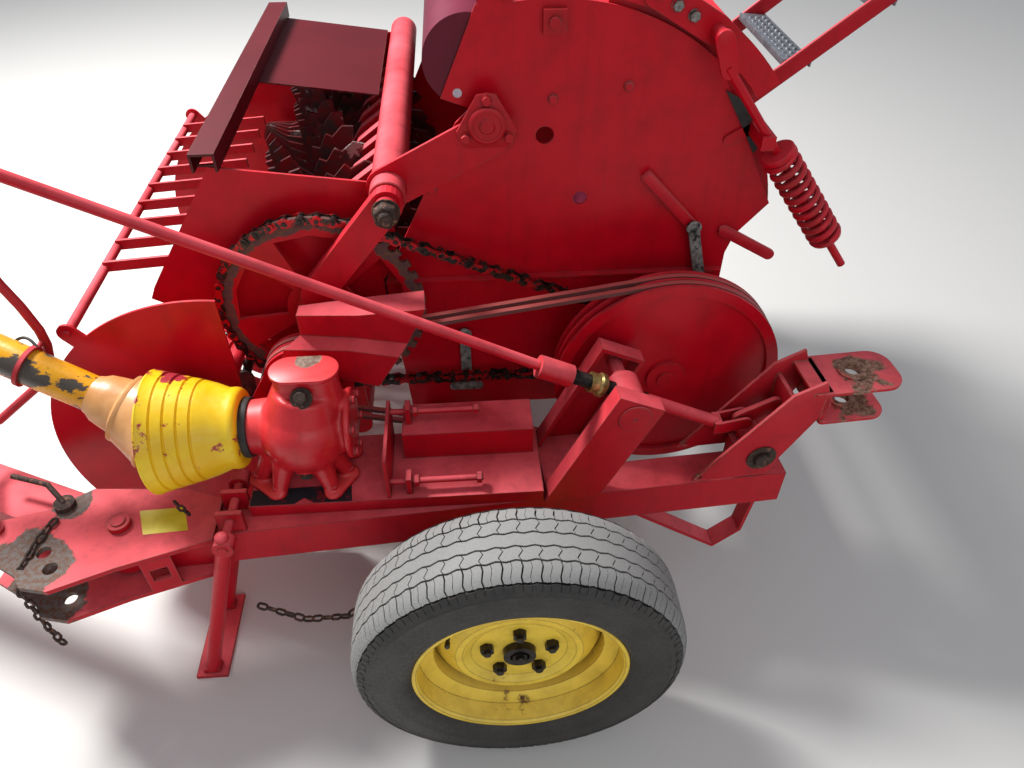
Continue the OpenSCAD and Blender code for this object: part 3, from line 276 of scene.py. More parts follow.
# %% Worn materials
def weathered(name, main, second, rough, size, metallic=0.0, third=None, third_share=0.0, depth=0.0004,
              dust=None, stretch=(1, 1, 1)):
    """Two tones in patches of that size in millimetres, a third tone in sharp flakes, and dust on top."""
    material, tree, shader = new_material(name)
    place = add(tree, "TexCoord", {}, out="Object")
    drawn = add(tree, "Mapping", {"Vector": place, "Scale": stretch})
    patches = noise(tree, drawn, size, 6.0, 0.62)
    share = ramp(tree, patches, 0.38, 0.62)
    colour = blend(tree, share, linear(main), linear(second))
    fine = noise(tree, place, max(2.5, size / 9), 4.0)
    if third:
        lower = 0.5 + 0.28 * (0.5 - third_share)
        moved = add(tree, "Mapping", {"Vector": drawn, "Location": (3.1, 5.7, 1.9)})
        flakes = noise(tree, moved, size * 1.6, 7.0, 0.68)
        mask = ramp(tree, flakes, lower, lower + 0.02)
        colour = blend(tree, mask, colour, linear(third))
    if dust:
        normal = add(tree, "NewGeometry", {}, out="Normal")
        facing = add(tree, "SeparateXYZ", {"Vector": normal}, out="Z")
        lying = ramp(tree, facing, -0.2, 0.9, top=0.8)
        colour = blend(tree, lying, colour, linear(dust))
    tree.links.new(colour, shader.inputs["Base Color"])
    gloss = ramp(tree, fine, 0.3, 0.7, rough - 0.1, rough + 0.12)
    tree.links.new(gloss, shader.inputs["Roughness"])
    shader.inputs["Metallic"].default_value = metallic
    height = add(tree, "Math", {0: patches, 1: 0.6, 2: fine}, operation="MULTIPLY_ADD")
    bump = add(tree, "Bump", {"Strength": 0.6, "Distance": depth, "Height": height})
    tree.links.new(bump, shader.inputs["Normal"])
    return material


chain_steel = weathered("greasy_chain_steel", "#16110F", "#40362F", 0.34, 16, metallic=0.5,
                        third="#B4141E", third_share=0.46)
greasy_steel = weathered("greasy_steel", "#1A1716", "#3E3835", 0.35, 18, metallic=0.55)
rotor_steel = weathered("rotor_steel", "#6E0F16", "#3A2B2A", 0.42, 45, metallic=0.35,
                        third="#8E8682", third_share=0.12)
polished_steel = weathered("crop_polished_steel", "#8C8884", "#5E5550", 0.34, 60, metallic=0.8,
                           third="#6A3A28", third_share=0.1)
rusty_iron = weathered("rusted_iron", "#4A352B", "#2C211C", 0.75, 9, metallic=0.2, third="#7A5240",
                       third_share=0.25, depth=0.0006)
bolt_steel = weathered("plated_bolt_steel", "#8E8B86", "#5B5651", 0.4, 8, metallic=0.8)
galvanised = weathered("galvanised_steel", "#8D9298", "#6C7178", 0.42, 12, metallic=0.6)
brass = weathered("brass_nut", "#B39A5E", "#6E5B33", 0.36, 16, metallic=0.7)
casting_red = enamel("bearing_enamel", "#B0131E", "#C83A40", rough=0.34, chips=0.3, grime_and_corner_shade=0.8, grain=0.2)
rim_yellow = enamel("rim_enamel", "#EECB48", "#F4DA6C", rough=0.42, chips=1.1, grime_and_corner_shade=0.4, bare="#4A2A1E",
                    worn=[(at(0, -860, 142), (1, 0, 1), 0.16, -0.16)])
guard_plastic = weathered("guard_polyethylene", "#F0CB1C", "#E8B60C", 0.42, 120, third="#A32C36",
                          third_share=0.26, depth=0.0003)
tube_plastic = weathered("worn_guard_tube", "#E7A516", "#D9920E", 0.3, 40, third="#4B433B", third_share=0.36,
                         depth=0.0003, stretch=(0.45, 1, 1))
boot_plastic = weathered("amber_boot_plastic", "#D8A067", "#C98C50", 0.38, 70, depth=0.0002)
belt_rubber = weathered("oversprayed_belt_rubber", "#3A2A2A", "#2A2424", 0.6, 14, dust="#D2615C",
                        depth=0.0003)
black_rubber = weathered("black_rubber", "#1F1D1C", "#2E2B29", 0.6, 20, depth=0.0002)
latch_rubber = weathered("weathered_latch_rubber", "#8D8984", "#55514D", 0.7, 14, third="#252221",
                         third_share=0.3, depth=0.0003)
sidewall_rubber = weathered("sidewall_rubber", "#292725", "#35322F", 0.62, 60, depth=0.0002)
tread_rubber = weathered("dusty_tread_rubber", "#5A5958", "#8E8D8A", 0.92, 3.5, dust="#949390", depth=0.0006)
sticker_yellow = weathered("bare_yellow_foil", "#E3CF3A", "#D6BF2C", 0.45, 40, third="#9E4A30",
                           third_share=0.04, depth=0.0001)
# Dark grey with red flecks: the colour of a painted shadow on the red platform
painted_shadow_sheet = weathered("painted_shadow_sheet", "#25262C", "#1B1B21", 0.55, 30, third="#7C1822", third_share=0.2,
                        depth=0.0001)
dot_white = weathered("white_foil", "#C9C2CC", "#B4AEB8", 0.4, 12, depth=0.0001)
print("materials:", len(bpy.data.materials))

# %% [markdown]
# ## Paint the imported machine
# Every node of the machine keeps its shape and gets the finish of the real piece.

# %% Finishes for the nodes
FINISHES = [  # finish, names of the nodes that get it
    (sheet_red, ["left_plate", "right_plate", "left_intake", "right_intake", "tailgate", "belt_guard",
                 "big_pulley", "small_pulley", "spring_bracket", "strut", "pickup_frame"]),
    # The hood gets the darker copy of the sheet enamel, which is painted shade
    (painted_shade_red, ["hood"]),
    (roller_red_painted_reflection, ["chamber_rollers"]),
    (beam_red, ["frame", "gear_platform", "trunnion_frame", "cross_tube", "tongue", "parking_stand",
                # The rollers' purple tint is a painted reflection, and their darkness partly painted shade
                "wind_guard",
                "pto_hoop", "ladder"]),
    (sprocket_red, ["feed_sprocket"]),
    (gearbox_red, ["gearbox"]),
    (drawbar_red, ["drawbar_head"]),
    (hitch_red, ["rear_hitch"]),
    (casting_red, ["bearings"]),
    (chain_steel, ["drive_chain"]),
    (greasy_steel, ["drive_sprocket", "pto_shaft", "pickup_reel", "left_hub", "right_hub"]),
    (rotor_steel, ["feed_rotor"]),
    (polished_steel, ["gate_rollers"]),
    (rusty_iron, ["lock_pin"]),
    (beam_red, ["crank_spindle", "gate_spring"]),
    (rim_yellow, ["left_rim", "right_rim"]),
    (guard_plastic, ["pto_guard"]),
    (belt_rubber, ["drive_belts"]),
    (latch_rubber, ["latches"]),
    (tread_rubber, ["left_tyre", "right_tyre"]),
]
for material, names in FINISHES:
    for name in names:
        for slot in nodes[name].material_slots:
            slot.material = material
print("nodes painted:", sum(len(names) for _, names in FINISHES), "of", len(nodes))

# %% [markdown]
# ## Tools for small pieces
# Most small pieces are turned, bent from bar or cut from plate, so three functions make those shapes from a
# few sizes: one spins an outline, one runs a round bar through points, one thickens an outline and rounds its
# edges. Short ones give angles, outlines and places, one puts copies where they belong, and the last gives
# the finished mesh its finish and its body.

# %% Shape helpers
HOLE_SIDES = 24


def lathe(profile, steps=36):
    """A turned part: a closed outline of radius and height in millimetres, spun round Z."""
    bm = bmesh.new()
    ring = [bm.verts.new((r / 1000, 0, z / 1000)) for r, z in profile]
    edges = [bm.edges.new(pair) for pair in zip(ring, ring[1:])]
    if profile[0][0] or profile[-1][0]:
        edges.append(bm.edges.new((ring[-1], ring[0])))
    bmesh.ops.spin(bm, geom=ring + edges, axis=(0, 0, 1), cent=(0, 0, 0), angle=math.tau, steps=steps,
                   use_merge=True)
    bmesh.ops.remove_doubles(bm, verts=bm.verts, dist=1e-6)
    bmesh.ops.dissolve_degenerate(bm, dist=1e-7, edges=bm.edges)
    return bm


def bar(points, radius, closed=False, sides=10, soft=False):
    """A round bar or wire of that radius in millimetres through points in metres."""
    data = bpy.data.curves.new("bar", "CURVE")
    data.dimensions = "3D"
    data.bevel_depth = radius / 1000
    data.bevel_resolution = max(0, sides // 2 - 2)
    data.use_fill_caps = True
    data.resolution_u = 6
    spline = data.splines.new("NURBS" if soft else "POLY")
    spline.points.add(len(points) - 1)
    for point, spot in zip(spline.points, points):
        point.co = (*spot, 1)
    if soft:
        spline.order_u = 4
        spline.use_endpoint_u = True
    spline.use_cyclic_u = closed
    holder = bpy.data.objects.new("bar", data)
    mesh = bpy.data.meshes.new_from_object(holder)
    bm = bmesh.new()
    bm.from_mesh(mesh)
    bpy.data.objects.remove(holder)
    bpy.data.meshes.remove(mesh)
    bmesh.ops.remove_doubles(bm, verts=bm.verts, dist=1e-6)
    return bm


def turns(count, start=0.0):
    """Evenly spaced angles round a circle, in radians."""
    return [start + math.tau * i / count for i in range(count)]


def circle(x, y, radius, count):
    """Points round a circle."""
    return [(x + radius * math.cos(a), y + radius * math.sin(a)) for a in turns(count)]


def plate(outline, thick, rounding=0.0, holes=()):
    """A plate in X and Z, thick towards +Y, from its outline and its round holes, in millimetres."""
    bm = bmesh.new()
    for rim in [outline] + [circle(*hole, HOLE_SIDES) for hole in holes]:
        ring = [bm.verts.new((x / 1000, 0, z / 1000)) for x, z in rim]
        for pair in zip(ring, ring[1:] + ring[:1]):
            bm.edges.new(pair)
    bmesh.ops.triangle_fill(bm, use_beauty=True, use_dissolve=False, edges=bm.edges[:], normal=(0, 1, 0))
    grown = bmesh.ops.extrude_face_region(bm, geom=bm.faces[:], use_keep_orig=True)["geom"]
    moved = [v for v in grown if isinstance(v, bmesh.types.BMVert)]
    bmesh.ops.translate(bm, verts=moved, vec=(0, thick / 1000, 0))
    bmesh.ops.recalc_face_normals(bm, faces=bm.faces)
    flat = [e for e in bm.edges if e.is_manifold and e.calc_face_angle(0) < 0.01]
    bmesh.ops.dissolve_edges(bm, edges=[] if holes else flat, use_verts=False)
    if rounding:
        sharp = [e for e in bm.edges if e.is_manifold and e.calc_face_angle(0) > 1.2]
        bmesh.ops.bevel(bm, geom=sharp, offset=rounding / 1000, segments=2, profile=0.5, material=-1,
                        affect="EDGES")
    return bm


def round_ended(p, q, width, steps=8):
    """Outline of a strip with round ends between two points in millimetres."""
    tilt = math.atan2(q[1] - p[1], q[0] - p[0])
    ends = [(q, tilt - math.pi / 2), (p, tilt + math.pi / 2)]
    return [(c[0] + width / 2 * math.cos(a + math.pi * i / steps),
             c[1] + width / 2 * math.sin(a + math.pi * i / steps))
            for c, a in ends for i in range(steps + 1)]


def aim(place, direction, turn=0):
    """A matrix that moves the origin to a place and turns Z that way, with a turn in degrees about it."""
    swing = Vector(direction).to_track_quat("Z", "Y").to_matrix().to_4x4()
    return Matrix.Translation(place) @ swing @ Matrix.Rotation(math.radians(turn), 4, "Z")


def put(target, part, spots):
    """Adds a copy of a finished bmesh to another at each of several matrices."""
    bmesh.ops.recalc_face_normals(part, faces=part.faces)
    mesh = bpy.data.meshes.new("part")
    part.to_mesh(mesh)
    part.free()
    for spot in spots:
        copy = mesh.copy()
        copy.transform(spot)
        target.from_mesh(copy)
        bpy.data.meshes.remove(copy)
    bpy.data.meshes.remove(mesh)


def piece(name, bm, material, body, replaces=(), crease=35):
    """Makes a bmesh a piece: soft shading with creases, its finish, and the body it rides on."""
    for face in bm.faces:
        face.smooth = True
    for edge in bm.edges:
        edge.smooth = not edge.is_manifold or edge.calc_face_angle(0) < math.radians(crease)
    mesh = bpy.data.meshes.new(name)
    bm.to_mesh(mesh)
    bm.free()
    mesh.materials.append(material)
    made = bpy.data.objects.new(name, mesh)
    scene.collection.objects.link(made)
    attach(made, body)
    if replaces:
        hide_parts(*replaces)
    print(f"{name}: {len(mesh.polygons)} faces on {body}")
    return made


STILL = Matrix()
UPRIGHT = Matrix.Rotation(math.radians(-90), 4, "X")  # lays a plate flat, thickness downwards

# %% [markdown]
# ## Tyres
# The tyres are 195 mm wide with five rows of blocks: a plain rib on the crown, two rows cut by S-shaped
# sipes, and two shoulder rows cut by wider curved grooves. Their dusty faces are far lighter than the
# grooves. One pitch of the pattern is a few bent grids made thick, and spin repeats it round the wheel,
# so that the grooves are real and cast shadows. Under the blocks lies one turned carcass with small lugs on
# its shoulders.

# %% Tyre skin
WHEEL_Y = 902.5
WHEEL_Z = 342
PITCHES = 60
SKIN = [(342, 0), (342, 40), (340.5, 56), (335, 72), (325, 84), (311, 92), (290, 97)]  # radius, distance out


def on_skin(along, height):
    """Radius and side distance of a point so far along the skin from the crown and so high above it."""
    left = abs(along)
    for (r0, y0), (r1, y1) in zip(SKIN, SKIN[1:]):
        step = math.hypot(r1 - r0, y1 - y0)
        if left <= step:
            break
        left -= step
    share = left / step
    radius = r0 + share * (r1 - r0) + height * (y1 - y0) / step
    out = y0 + share * (y1 - y0) + height * (r0 - r1) / step
    return radius, math.copysign(out, along)


def tread_block(bm, edge_in, edge_out, start, end, bend, low=-8.0, high=0.0, cells=(3, 3)):
    """A block between two distances along the skin and two shares of a pitch, its ends bent into an S."""
    upper = bmesh.ops.create_grid(bm, x_segments=cells[0], y_segments=cells[1], size=0.5)["verts"]
    faces = list({face for vert in upper for face in vert.link_faces})
    grown = bmesh.ops.extrude_face_region(bm, geom=faces, use_keep_orig=True)["geom"]
    lower = [v for v in grown if isinstance(v, bmesh.types.BMVert)]
    for verts, height in ((upper, high), (lower, low)):
        for vert in verts:
            across = vert.co.y + 0.5
            share = start + (vert.co.x + 0.5) * (end - start)
            wave = 1.8 * math.sin(math.tau * share)
            radius, out = on_skin(edge_in + across * (edge_out - edge_in) + wave, height)
            angle = math.tau * (share + bend * math.sin(math.tau * across)) / PITCHES
            vert.co = Vector((radius * math.cos(angle), out, radius * math.sin(angle))) / 1000


def repeat_round(bm):
    """Repeats one pitch of blocks all round the wheel."""
    bmesh.ops.spin(bm, geom=bm.verts[:] + bm.edges[:] + bm.faces[:], axis=(0, 1, 0), cent=(0, 0, 0),
                   angle=math.tau * (PITCHES - 1) / PITCHES, steps=PITCHES - 1, use_duplicate=True)
    bmesh.ops.recalc_face_normals(bm, faces=bm.faces)


# %% Build the tyres
# Section of half a carcass: radius, distance out
CARCASS = [(334, 0), (334, 39), (332.5, 54), (328, 68), (321, 78), (324, 85), (311, 92), (304, 94),
           (302, 95.6),
           (300, 94.8), (290, 97), (268, 97.5), (262, 98.3), (258, 96.9), (247, 96), (232, 92.5), (224, 86),
           (219, 78), (212, 76), (212, 66), (316, 66)]
for side, wheel in ((-1, "left"), (1, "right")):
    middle = at(0, side * WHEEL_Y, WHEEL_Z)
    bm = bmesh.new()
    for half in (-1, 1):
        tread_block(bm, half * 89, half * 103, 0.04, 0.5, 0.0, low=-1.0, high=1.8, cells=(2, 1))
        tread_block(bm, half * 89, half * 103, 0.54, 0.96, 0.0, low=-1.0, high=1.8, cells=(2, 1))
    repeat_round(bm)
    bm.transform(Matrix.Translation(middle))
    put(bm, lathe(CARCASS + [(r, -y) for r, y in reversed(CARCASS)][:-1], 90), [aim(middle, (0, 1, 0))])
    piece(f"{wheel}_tyre_carcass", bm, sidewall_rubber, f"{wheel}_wheel", [f"{wheel}_tyre"])
    bm = bmesh.new()
    tread_block(bm, -13, 13, 0.0, 1.0, 0.0, cells=(4, 1))
    for half in (-1, 1):
        tread_block(bm, half * 17, half * 43, 0.03, 0.97, 0.12 * half, cells=(4, 4))
        tread_block(bm, half * 47, half * 86, 0.045, 0.53, 0.06 * half, cells=(2, 4))
        tread_block(bm, half * 47, half * 84, 0.56, 0.955, 0.06 * half, cells=(2, 4))
    repeat_round(bm)
    bm.transform(Matrix.Translation(middle))
    piece(f"{wheel}_tread", bm, tread_rubber, f"{wheel}_wheel", [f"{wheel}_tyre"], crease=30)
    # Axle nut deep in the hub's mouth, and the valve
    bm = bmesh.new()
    nut = bmesh.new()
    bmesh.ops.create_cone(nut, cap_ends=True, segments=6, radius1=0.0172, radius2=0.0172, depth=0.014)
    put(nut, lathe([(0, 0), (10, 0), (10, 14), (8, 16), (0, 16)], 16), [STILL])
    put(bm, nut, [aim(middle + Vector((0, side * 0.037, 0)), (0, side, 0))])
    valve = lathe([(0, 0), (7, 0), (6, 12), (4, 14), (4, 34), (5.5, 36), (5.5, 46), (4, 48), (0, 48)], 14)
    put(bm, valve, [aim(middle + Vector((-0.14, side * 0.012, 0.083)), (-0.1, side, 0.06))])
    piece(f"{wheel}_nut_and_valve", bm, greasy_steel, f"{wheel}_wheel")

# %% [markdown]
# ## The roller chain
# A roller chain is pairs of waisted link plates, alternately inside and outside, on riveted pins with a
# roller between them. The pins lie on two arcs of tooth gaps and on two straight runs, which the teeth
# and the pitch settle. The plates caught red overspray, and the rollers stay black with grease, so they
# are two pieces.

# %% Places of the chain's pins
CHAIN_Y = -290
LINK_PITCH = 34
BIG_TEETH, SMALL_TEETH = 42, 13
BIG_CENTRE, SMALL_CENTRE = Vector((-400, 770)), Vector((385, 612))


def tooth_gaps(centre, teeth, start, count):
    """Centres of some neighbouring tooth gaps, the first at an angle in radians."""
    radius = LINK_PITCH / (2 * math.sin(math.pi / teeth))
    angles = [start + math.tau * i / teeth for i in range(count + 1)]
    return [centre + radius * Vector((math.cos(a), math.sin(a))) for a in angles]


def straight_run(p, q, count):
    """The pins between two points, without the ends."""
    return [p.lerp(q, i / count) for i in range(1, count)]


span = SMALL_CENTRE - BIG_CENTRE
wheels = [LINK_PITCH / (2 * math.sin(math.pi / n)) for n in (BIG_TEETH, SMALL_TEETH)]
lean = math.asin((wheels[0] - wheels[1]) / span.length)
slope = math.atan2(span.y, span.x)
on_big = tooth_gaps(BIG_CENTRE, BIG_TEETH, slope + math.pi / 2 - lean,
                    int((math.pi + 2 * lean) * BIG_TEETH / math.tau))
on_small = tooth_gaps(SMALL_CENTRE, SMALL_TEETH, slope + 1.5 * math.pi + lean,
                      int((math.pi - 2 * lean) * SMALL_TEETH / math.tau))
low_run = round((on_small[0] - on_big[-1]).length / LINK_PITCH)
top_run = round((on_big[0] - on_small[-1]).length / LINK_PITCH)
top_run += (len(on_big) + len(on_small) + low_run + top_run) % 2
pins = (on_big + straight_run(on_big[-1], on_small[0], low_run) + on_small
        + straight_run(on_small[-1], on_big[0], top_run))
print("chain pins:", len(pins))

# %% Build the chain
plates, rollers = bmesh.new(), bmesh.new()
WAIST = [(0.5, 6.2), (0.28, 8.6)]  # share of the pitch and half height where a plate narrows
for i, (p, q) in enumerate(zip(pins, pins[1:] + pins[:1])):
    length = (q - p).length
    turn = Matrix.Rotation(-math.atan2(q.y - p.y, q.x - p.x), 4, "Y")
    half = [(length + 11 * math.sin(a), 11 * math.cos(a)) for a in (math.pi / 2, 1.05, 0.5, 0.0)]
    half += [(length * (1 - share), height) for share, height in reversed(WAIST)]
    half += [(length * share, height) for share, height in WAIST[1:]]
    half += [(11 * math.sin(a), 11 * math.cos(a)) for a in (0.0, -0.5, -1.05)]
    outline = half + [(-11, 0)] + [(x, -z) for x, z in reversed(half[1:])]
    outside = i % 2
    for y in ((-12.2, 9.2) if outside else (-8.8, 5.8)):
        put(plates, plate(outline, 3), [placed(p.x, CHAIN_Y + y, p.y) @ turn])
across = [aim(at(p.x, CHAIN_Y - 14, p.y), (0, 1, 0)) for p in pins]
put(rollers, lathe([(0, 0), (4.6, 0), (5.2, 1.2), (5.2, 7.5), (9.2, 8.4), (9.2, 19.6), (5.2, 20.5),
                    (5.2, 26.8),
                    (4.6, 28), (0, 28)], 12), across)
piece("chain_plates", plates, chain_steel, "chassis", ["drive_chain"])
piece("chain_rollers", rollers, greasy_steel, "chassis", ["drive_chain"])

# %% [markdown]
# ## Shaft guard
# Three moulded parts cover the driving shaft: a big bell bolted to the gearbox, whose folds step out
# towards its rim, an amber cone that turns inside it, and the long tube. Each is a turned shell with
# rolled lips.

# %% Bell, cone and tube
bell_foot = aim(at(-558.3, -540, 645), (-1, 0, 0))
along_shaft = placed(-700, -540, 645) @ Matrix.Rotation(math.radians(166), 4, "Z") \
    @ Matrix.Rotation(math.radians(64.5), 4, "Y")


def bell_radius(t):
    """Outer radius of the bell that far from its narrow end."""
    return 84 + 47 * t / 182


folds = [82, 106, 130, 154]
outer = [(62, 0), (76, 0), (83, 3), (87, 9), (88, 16), (87.5, 30), (bell_radius(56), 56)]
for t in folds:
    outer += [(bell_radius(t) + 0.5, t - 3), (bell_radius(t) - 2.2, t - 0.8), (bell_radius(t) - 2.0, t + 1),
              (bell_radius(t) + 2.6, t + 3)]
outer += [(131, 176), (133.5, 179), (133.5, 182), (130, 183)]
inner = [(127, 178)] + [(bell_radius(t) - 5, t) for t in reversed(folds)] + [(83, 14), (78, 6), (62, 5)]
bm = bmesh.new()
put(bm, lathe(outer + inner, 72), [bell_foot])
piece("guard_bell", bm, guard_plastic, "chassis", ["pto_guard"])
bm = bmesh.new()
put(bm, lathe([(99, 38), (103, 39), (104, 43), (102, 47), (98, 50), (85, 80), (74, 108), (75, 112),
               (74, 117),
               (66, 120), (61, 124), (57, 145), (52, 166), (44, 178), (41, 186), (38.5, 186), (38.5, 180),
               (49, 162), (57, 118), (70, 108), (95, 46), (95, 38)], 64), [along_shaft])
piece("guard_cone", bm, boot_plastic, "chassis", ["pto_guard"])
bm = bmesh.new()
put(bm, lathe([(36, 182), (39, 182), (39, 458), (37, 462), (20.5, 462), (20.5, 442), (34, 442), (36, 430)],
              48),
    [along_shaft])
piece("guard_tube", bm, tube_plastic, "chassis", ["pto_guard"])
bm = bmesh.new()
ring = [along_shaft @ Vector((0.0415 * math.cos(a), 0.0415 * math.sin(a), 0.424 + 0.006 * math.sin(a)))
        for a in turns(40)]
put(bm, bar(ring, 2.8, closed=True), [STILL])
put(bm, lathe([(59.5, -16), (64, -15), (66, -8), (65, 0), (63, 2), (59.5, 2)], 48), [bell_foot])
hook = [at(-1040, -470, 770), at(-1030, -440, 800), at(-1005, -425, 828), at(-975, -430, 830),
        at(-958, -450, 815)]
put(bm, bar(hook, 3.2, soft=True), [STILL])
piece("guard_ring_and_seal", bm, black_rubber, "chassis", ["pto_guard"])

# %% [markdown]
# ## The gearbox
# The gearbox is sand cast: every part of it flows into the next. The easy way to that look is to push
# plain bodies into one another, have the Remesh modifier melt them into one skin, and smooth it a few
# rounds. The machined cap, the plugs and the bolts are added afterwards and stay crisp.

# %% Gearbox casting
CASTING = Vector((-440, -540, 645))
# Bolts of the feet, x and y from the casting's middle: the near side, then the far side
FEET = [(-116, -26), (-68, -67), (55, -73), (86, -22), (-104, 50), (-60, 78), (60, 78), (88, 46)]


def in_casting(x, y, z):
    """A place in millimetres from the middle of the gearbox."""
    return at(CASTING.x + x, CASTING.y + y, CASTING.z + z)


def cone_between(bm, p, q, first, last, segments=32):
    """A solid cone or cylinder between two points in metres, with its two radii in millimetres."""
    bmesh.ops.create_cone(bm, cap_ends=True, segments=segments, radius1=first / 1000, radius2=last / 1000,
                          depth=(q - p).length, matrix=aim((p + q) / 2, q - p))


lump = bmesh.new()
bmesh.ops.create_uvsphere(lump, u_segments=36, v_segments=20, radius=0.096,
                          matrix=Matrix.Translation(in_casting(8, -10, 0)))
cone_between(lump, in_casting(10, -6, 20), in_casting(24, -2, 108), 92, 64)
for x in (0, 15, 30, 45, 60):
    cone_between(lump, in_casting(x, 0, 30), in_casting(x, 0, 146), 46, 35)
cone_between(lump, in_casting(-40, 0, 0), in_casting(-117, 0, 0), 64, 58)
cone_between(lump, in_casting(30, 0, 0), in_casting(99, 0, 0), 60, 64)
cone_between(lump, in_casting(98, 0, 0), in_casting(112, 0, 0), 77, 77)
cone_between(lump, in_casting(0, 30, 0), in_casting(0, 111, 0), 60, 57)
cone_between(lump, in_casting(2, -36, -50), in_casting(2, -62, -88), 36, 22)
for (x, y), reach in zip(FEET, (0.5, 0.8, 0.8, 0.5) * 2):
    cone_between(lump, in_casting(0.55 * x, 0.6 * y, -40), in_casting(0.92 * x, 0.92 * y, -134), 30, 17)
    cone_between(lump, in_casting(x, y, -145), in_casting(x, y, -131), 23, 22)
for k in (0, 2, 4, 6):
    (x0, y0), (x1, y1) = FEET[k], FEET[k + 1]
    for share in (0.25, 0.5, 0.75):
        spot = (x0 + share * (x1 - x0), y0 + share * (y1 - y0))
        cone_between(lump, in_casting(*spot, -145), in_casting(*spot, -131), 22, 21)
mesh = bpy.data.meshes.new("lump")
lump.to_mesh(mesh)
lump.free()
holder = bpy.data.objects.new("lump", mesh)
scene.collection.objects.link(holder)
melt = holder.modifiers.new("melt", "REMESH")
melt.mode = "VOXEL"
melt.voxel_size = 0.0035
skin = bpy.data.meshes.new_from_object(holder.evaluated_get(bpy.context.evaluated_depsgraph_get()))
bm = bmesh.new()
bm.from_mesh(skin)
bpy.data.objects.remove(holder)
for _ in range(7):
    bmesh.ops.smooth_vert(bm, verts=bm.verts, factor=0.5, use_axis_x=True, use_axis_y=True, use_axis_z=True)
cap = plate(round_ended((-30, 0), (30, 0), 81, 16), 10, 1.2)
put(bm, cap, [Matrix.Translation(in_casting(31, 0, 156)) @ UPRIGHT])
piece("gearbox_casting", bm, gearbox_red, "chassis", ["gearbox"], crease=50)


# %% [markdown]
# ## Bolts, nuts and plugs
# One bolt function serves the whole machine: a six-sided head with its corners turned off, on a washer.
# Bolts that were there when the machine was sprayed are red like the rest, and the ones changed since are
# plated.

# %% Bolts
def bolt(across, height, washer=1.0):
    """A hexagon head or nut of that width across flats, standing on a washer."""
    bm = bmesh.new()
    bmesh.ops.create_cone(bm, cap_ends=True, segments=6, radius1=across / 1732, radius2=across / 1732,
                          depth=height / 1000, matrix=Matrix.Translation((0, 0, (height / 2 + 2) / 1000)))
    bmesh.ops.bevel(bm, geom=bm.edges[:], offset=across / 16000, segments=1, profile=0.5, material=-1,
                    affect="EDGES")
    rim = across * 0.62 * washer
    put(bm, lathe([(0, -1), (rim, -1), (rim, 1.6), (rim - 1, 2.4), (0, 2.4)], 20), [STILL])
    return bm


SIDE = (0, -1, 0)
STRUT_PIN = (-225, 1050)    # x and z of the big nut that holds strut and cross tube
BOLT_CIRCLE = 50            # radius on which a bearing's three bolts stand
BOLT_TURNS = (math.pi / 2, 3.665, 5.76)
red_bolts, brown_bolts = bmesh.new(), bmesh.new()
for x, z, y in ((-400, 770, -250), (385, 612, -249), (-16, 1158, -244)):
    spots = [(x + BOLT_CIRCLE * math.cos(a), z + BOLT_CIRCLE * math.sin(a)) for a in BOLT_TURNS]
    put(red_bolts, bolt(17, 8), [aim(at(u, y, v), SIDE, 17 * k) for k, (u, v) in enumerate(spots)])
flange_bolts = [(64 * math.cos(a), 64 * math.sin(a)) for a in turns(6, math.pi / 6)]
put(red_bolts, bolt(17, 8), [aim(at(x, -235, z), SIDE, 11 + x) for x, z in
                             ((116, 1215), (266, 1236), (-87, 1107), (-136, 1027))])
put(red_bolts, bolt(18, 11), [aim(in_casting(x, y, -131), (0, 0, 1), 3 * x) for x, y in FEET])
put(red_bolts, bolt(16, 7), [aim(in_casting(112, y, z), (1, 0, 0), 20) for y, z in flange_bolts])
put(brown_bolts, bolt(46, 24), [aim(at(STRUT_PIN[0], -367, STRUT_PIN[1]), SIDE, 10)])
put(brown_bolts, lathe([(0, 0), (15, 0), (15, 8), (12, 12), (0, 13)], 20),
    [aim(at(STRUT_PIN[0], -392, STRUT_PIN[1]), SIDE)])
put(brown_bolts, bolt(24, 14, 1.5), [aim(in_casting(27, -50, 121), (0, -0.72, 0.7), 12)])
put(brown_bolts, bolt(22, 12, 1.6), [aim(in_casting(2, -61, -87), (0, -0.64, -0.77), 5)])
piece("painted_bolts", red_bolts, beam_red, "chassis")
piece("unpainted_bolts", brown_bolts, rusty_iron, "chassis")
bm = bmesh.new()
put(bm, lathe([(0, -2), (13, -2), (15, 2), (14, 8), (10, 13), (4, 16), (0, 16.5)], 24),
    [aim(at(-600, -737, 520), (0, 0, 1))])
piece("stand_pivot_dome", bm, beam_red, "stand")
bm = bmesh.new()
put(bm, bolt(19, 9), [aim(at(370, -259, 1372), SIDE, 8), aim(at(336, -259, 1391), SIDE, 25)])
piece("gate_bolts", bm, bolt_steel, "gate")

# %% [markdown]
# ## Spring, latches and steps
# The tailgate's spring is one bar wound round its guide rod. The lower cover hangs on T-shaped rubber
# latches, the kind that is pulled over a hook. The ladder has painted rails and bare galvanised treads.

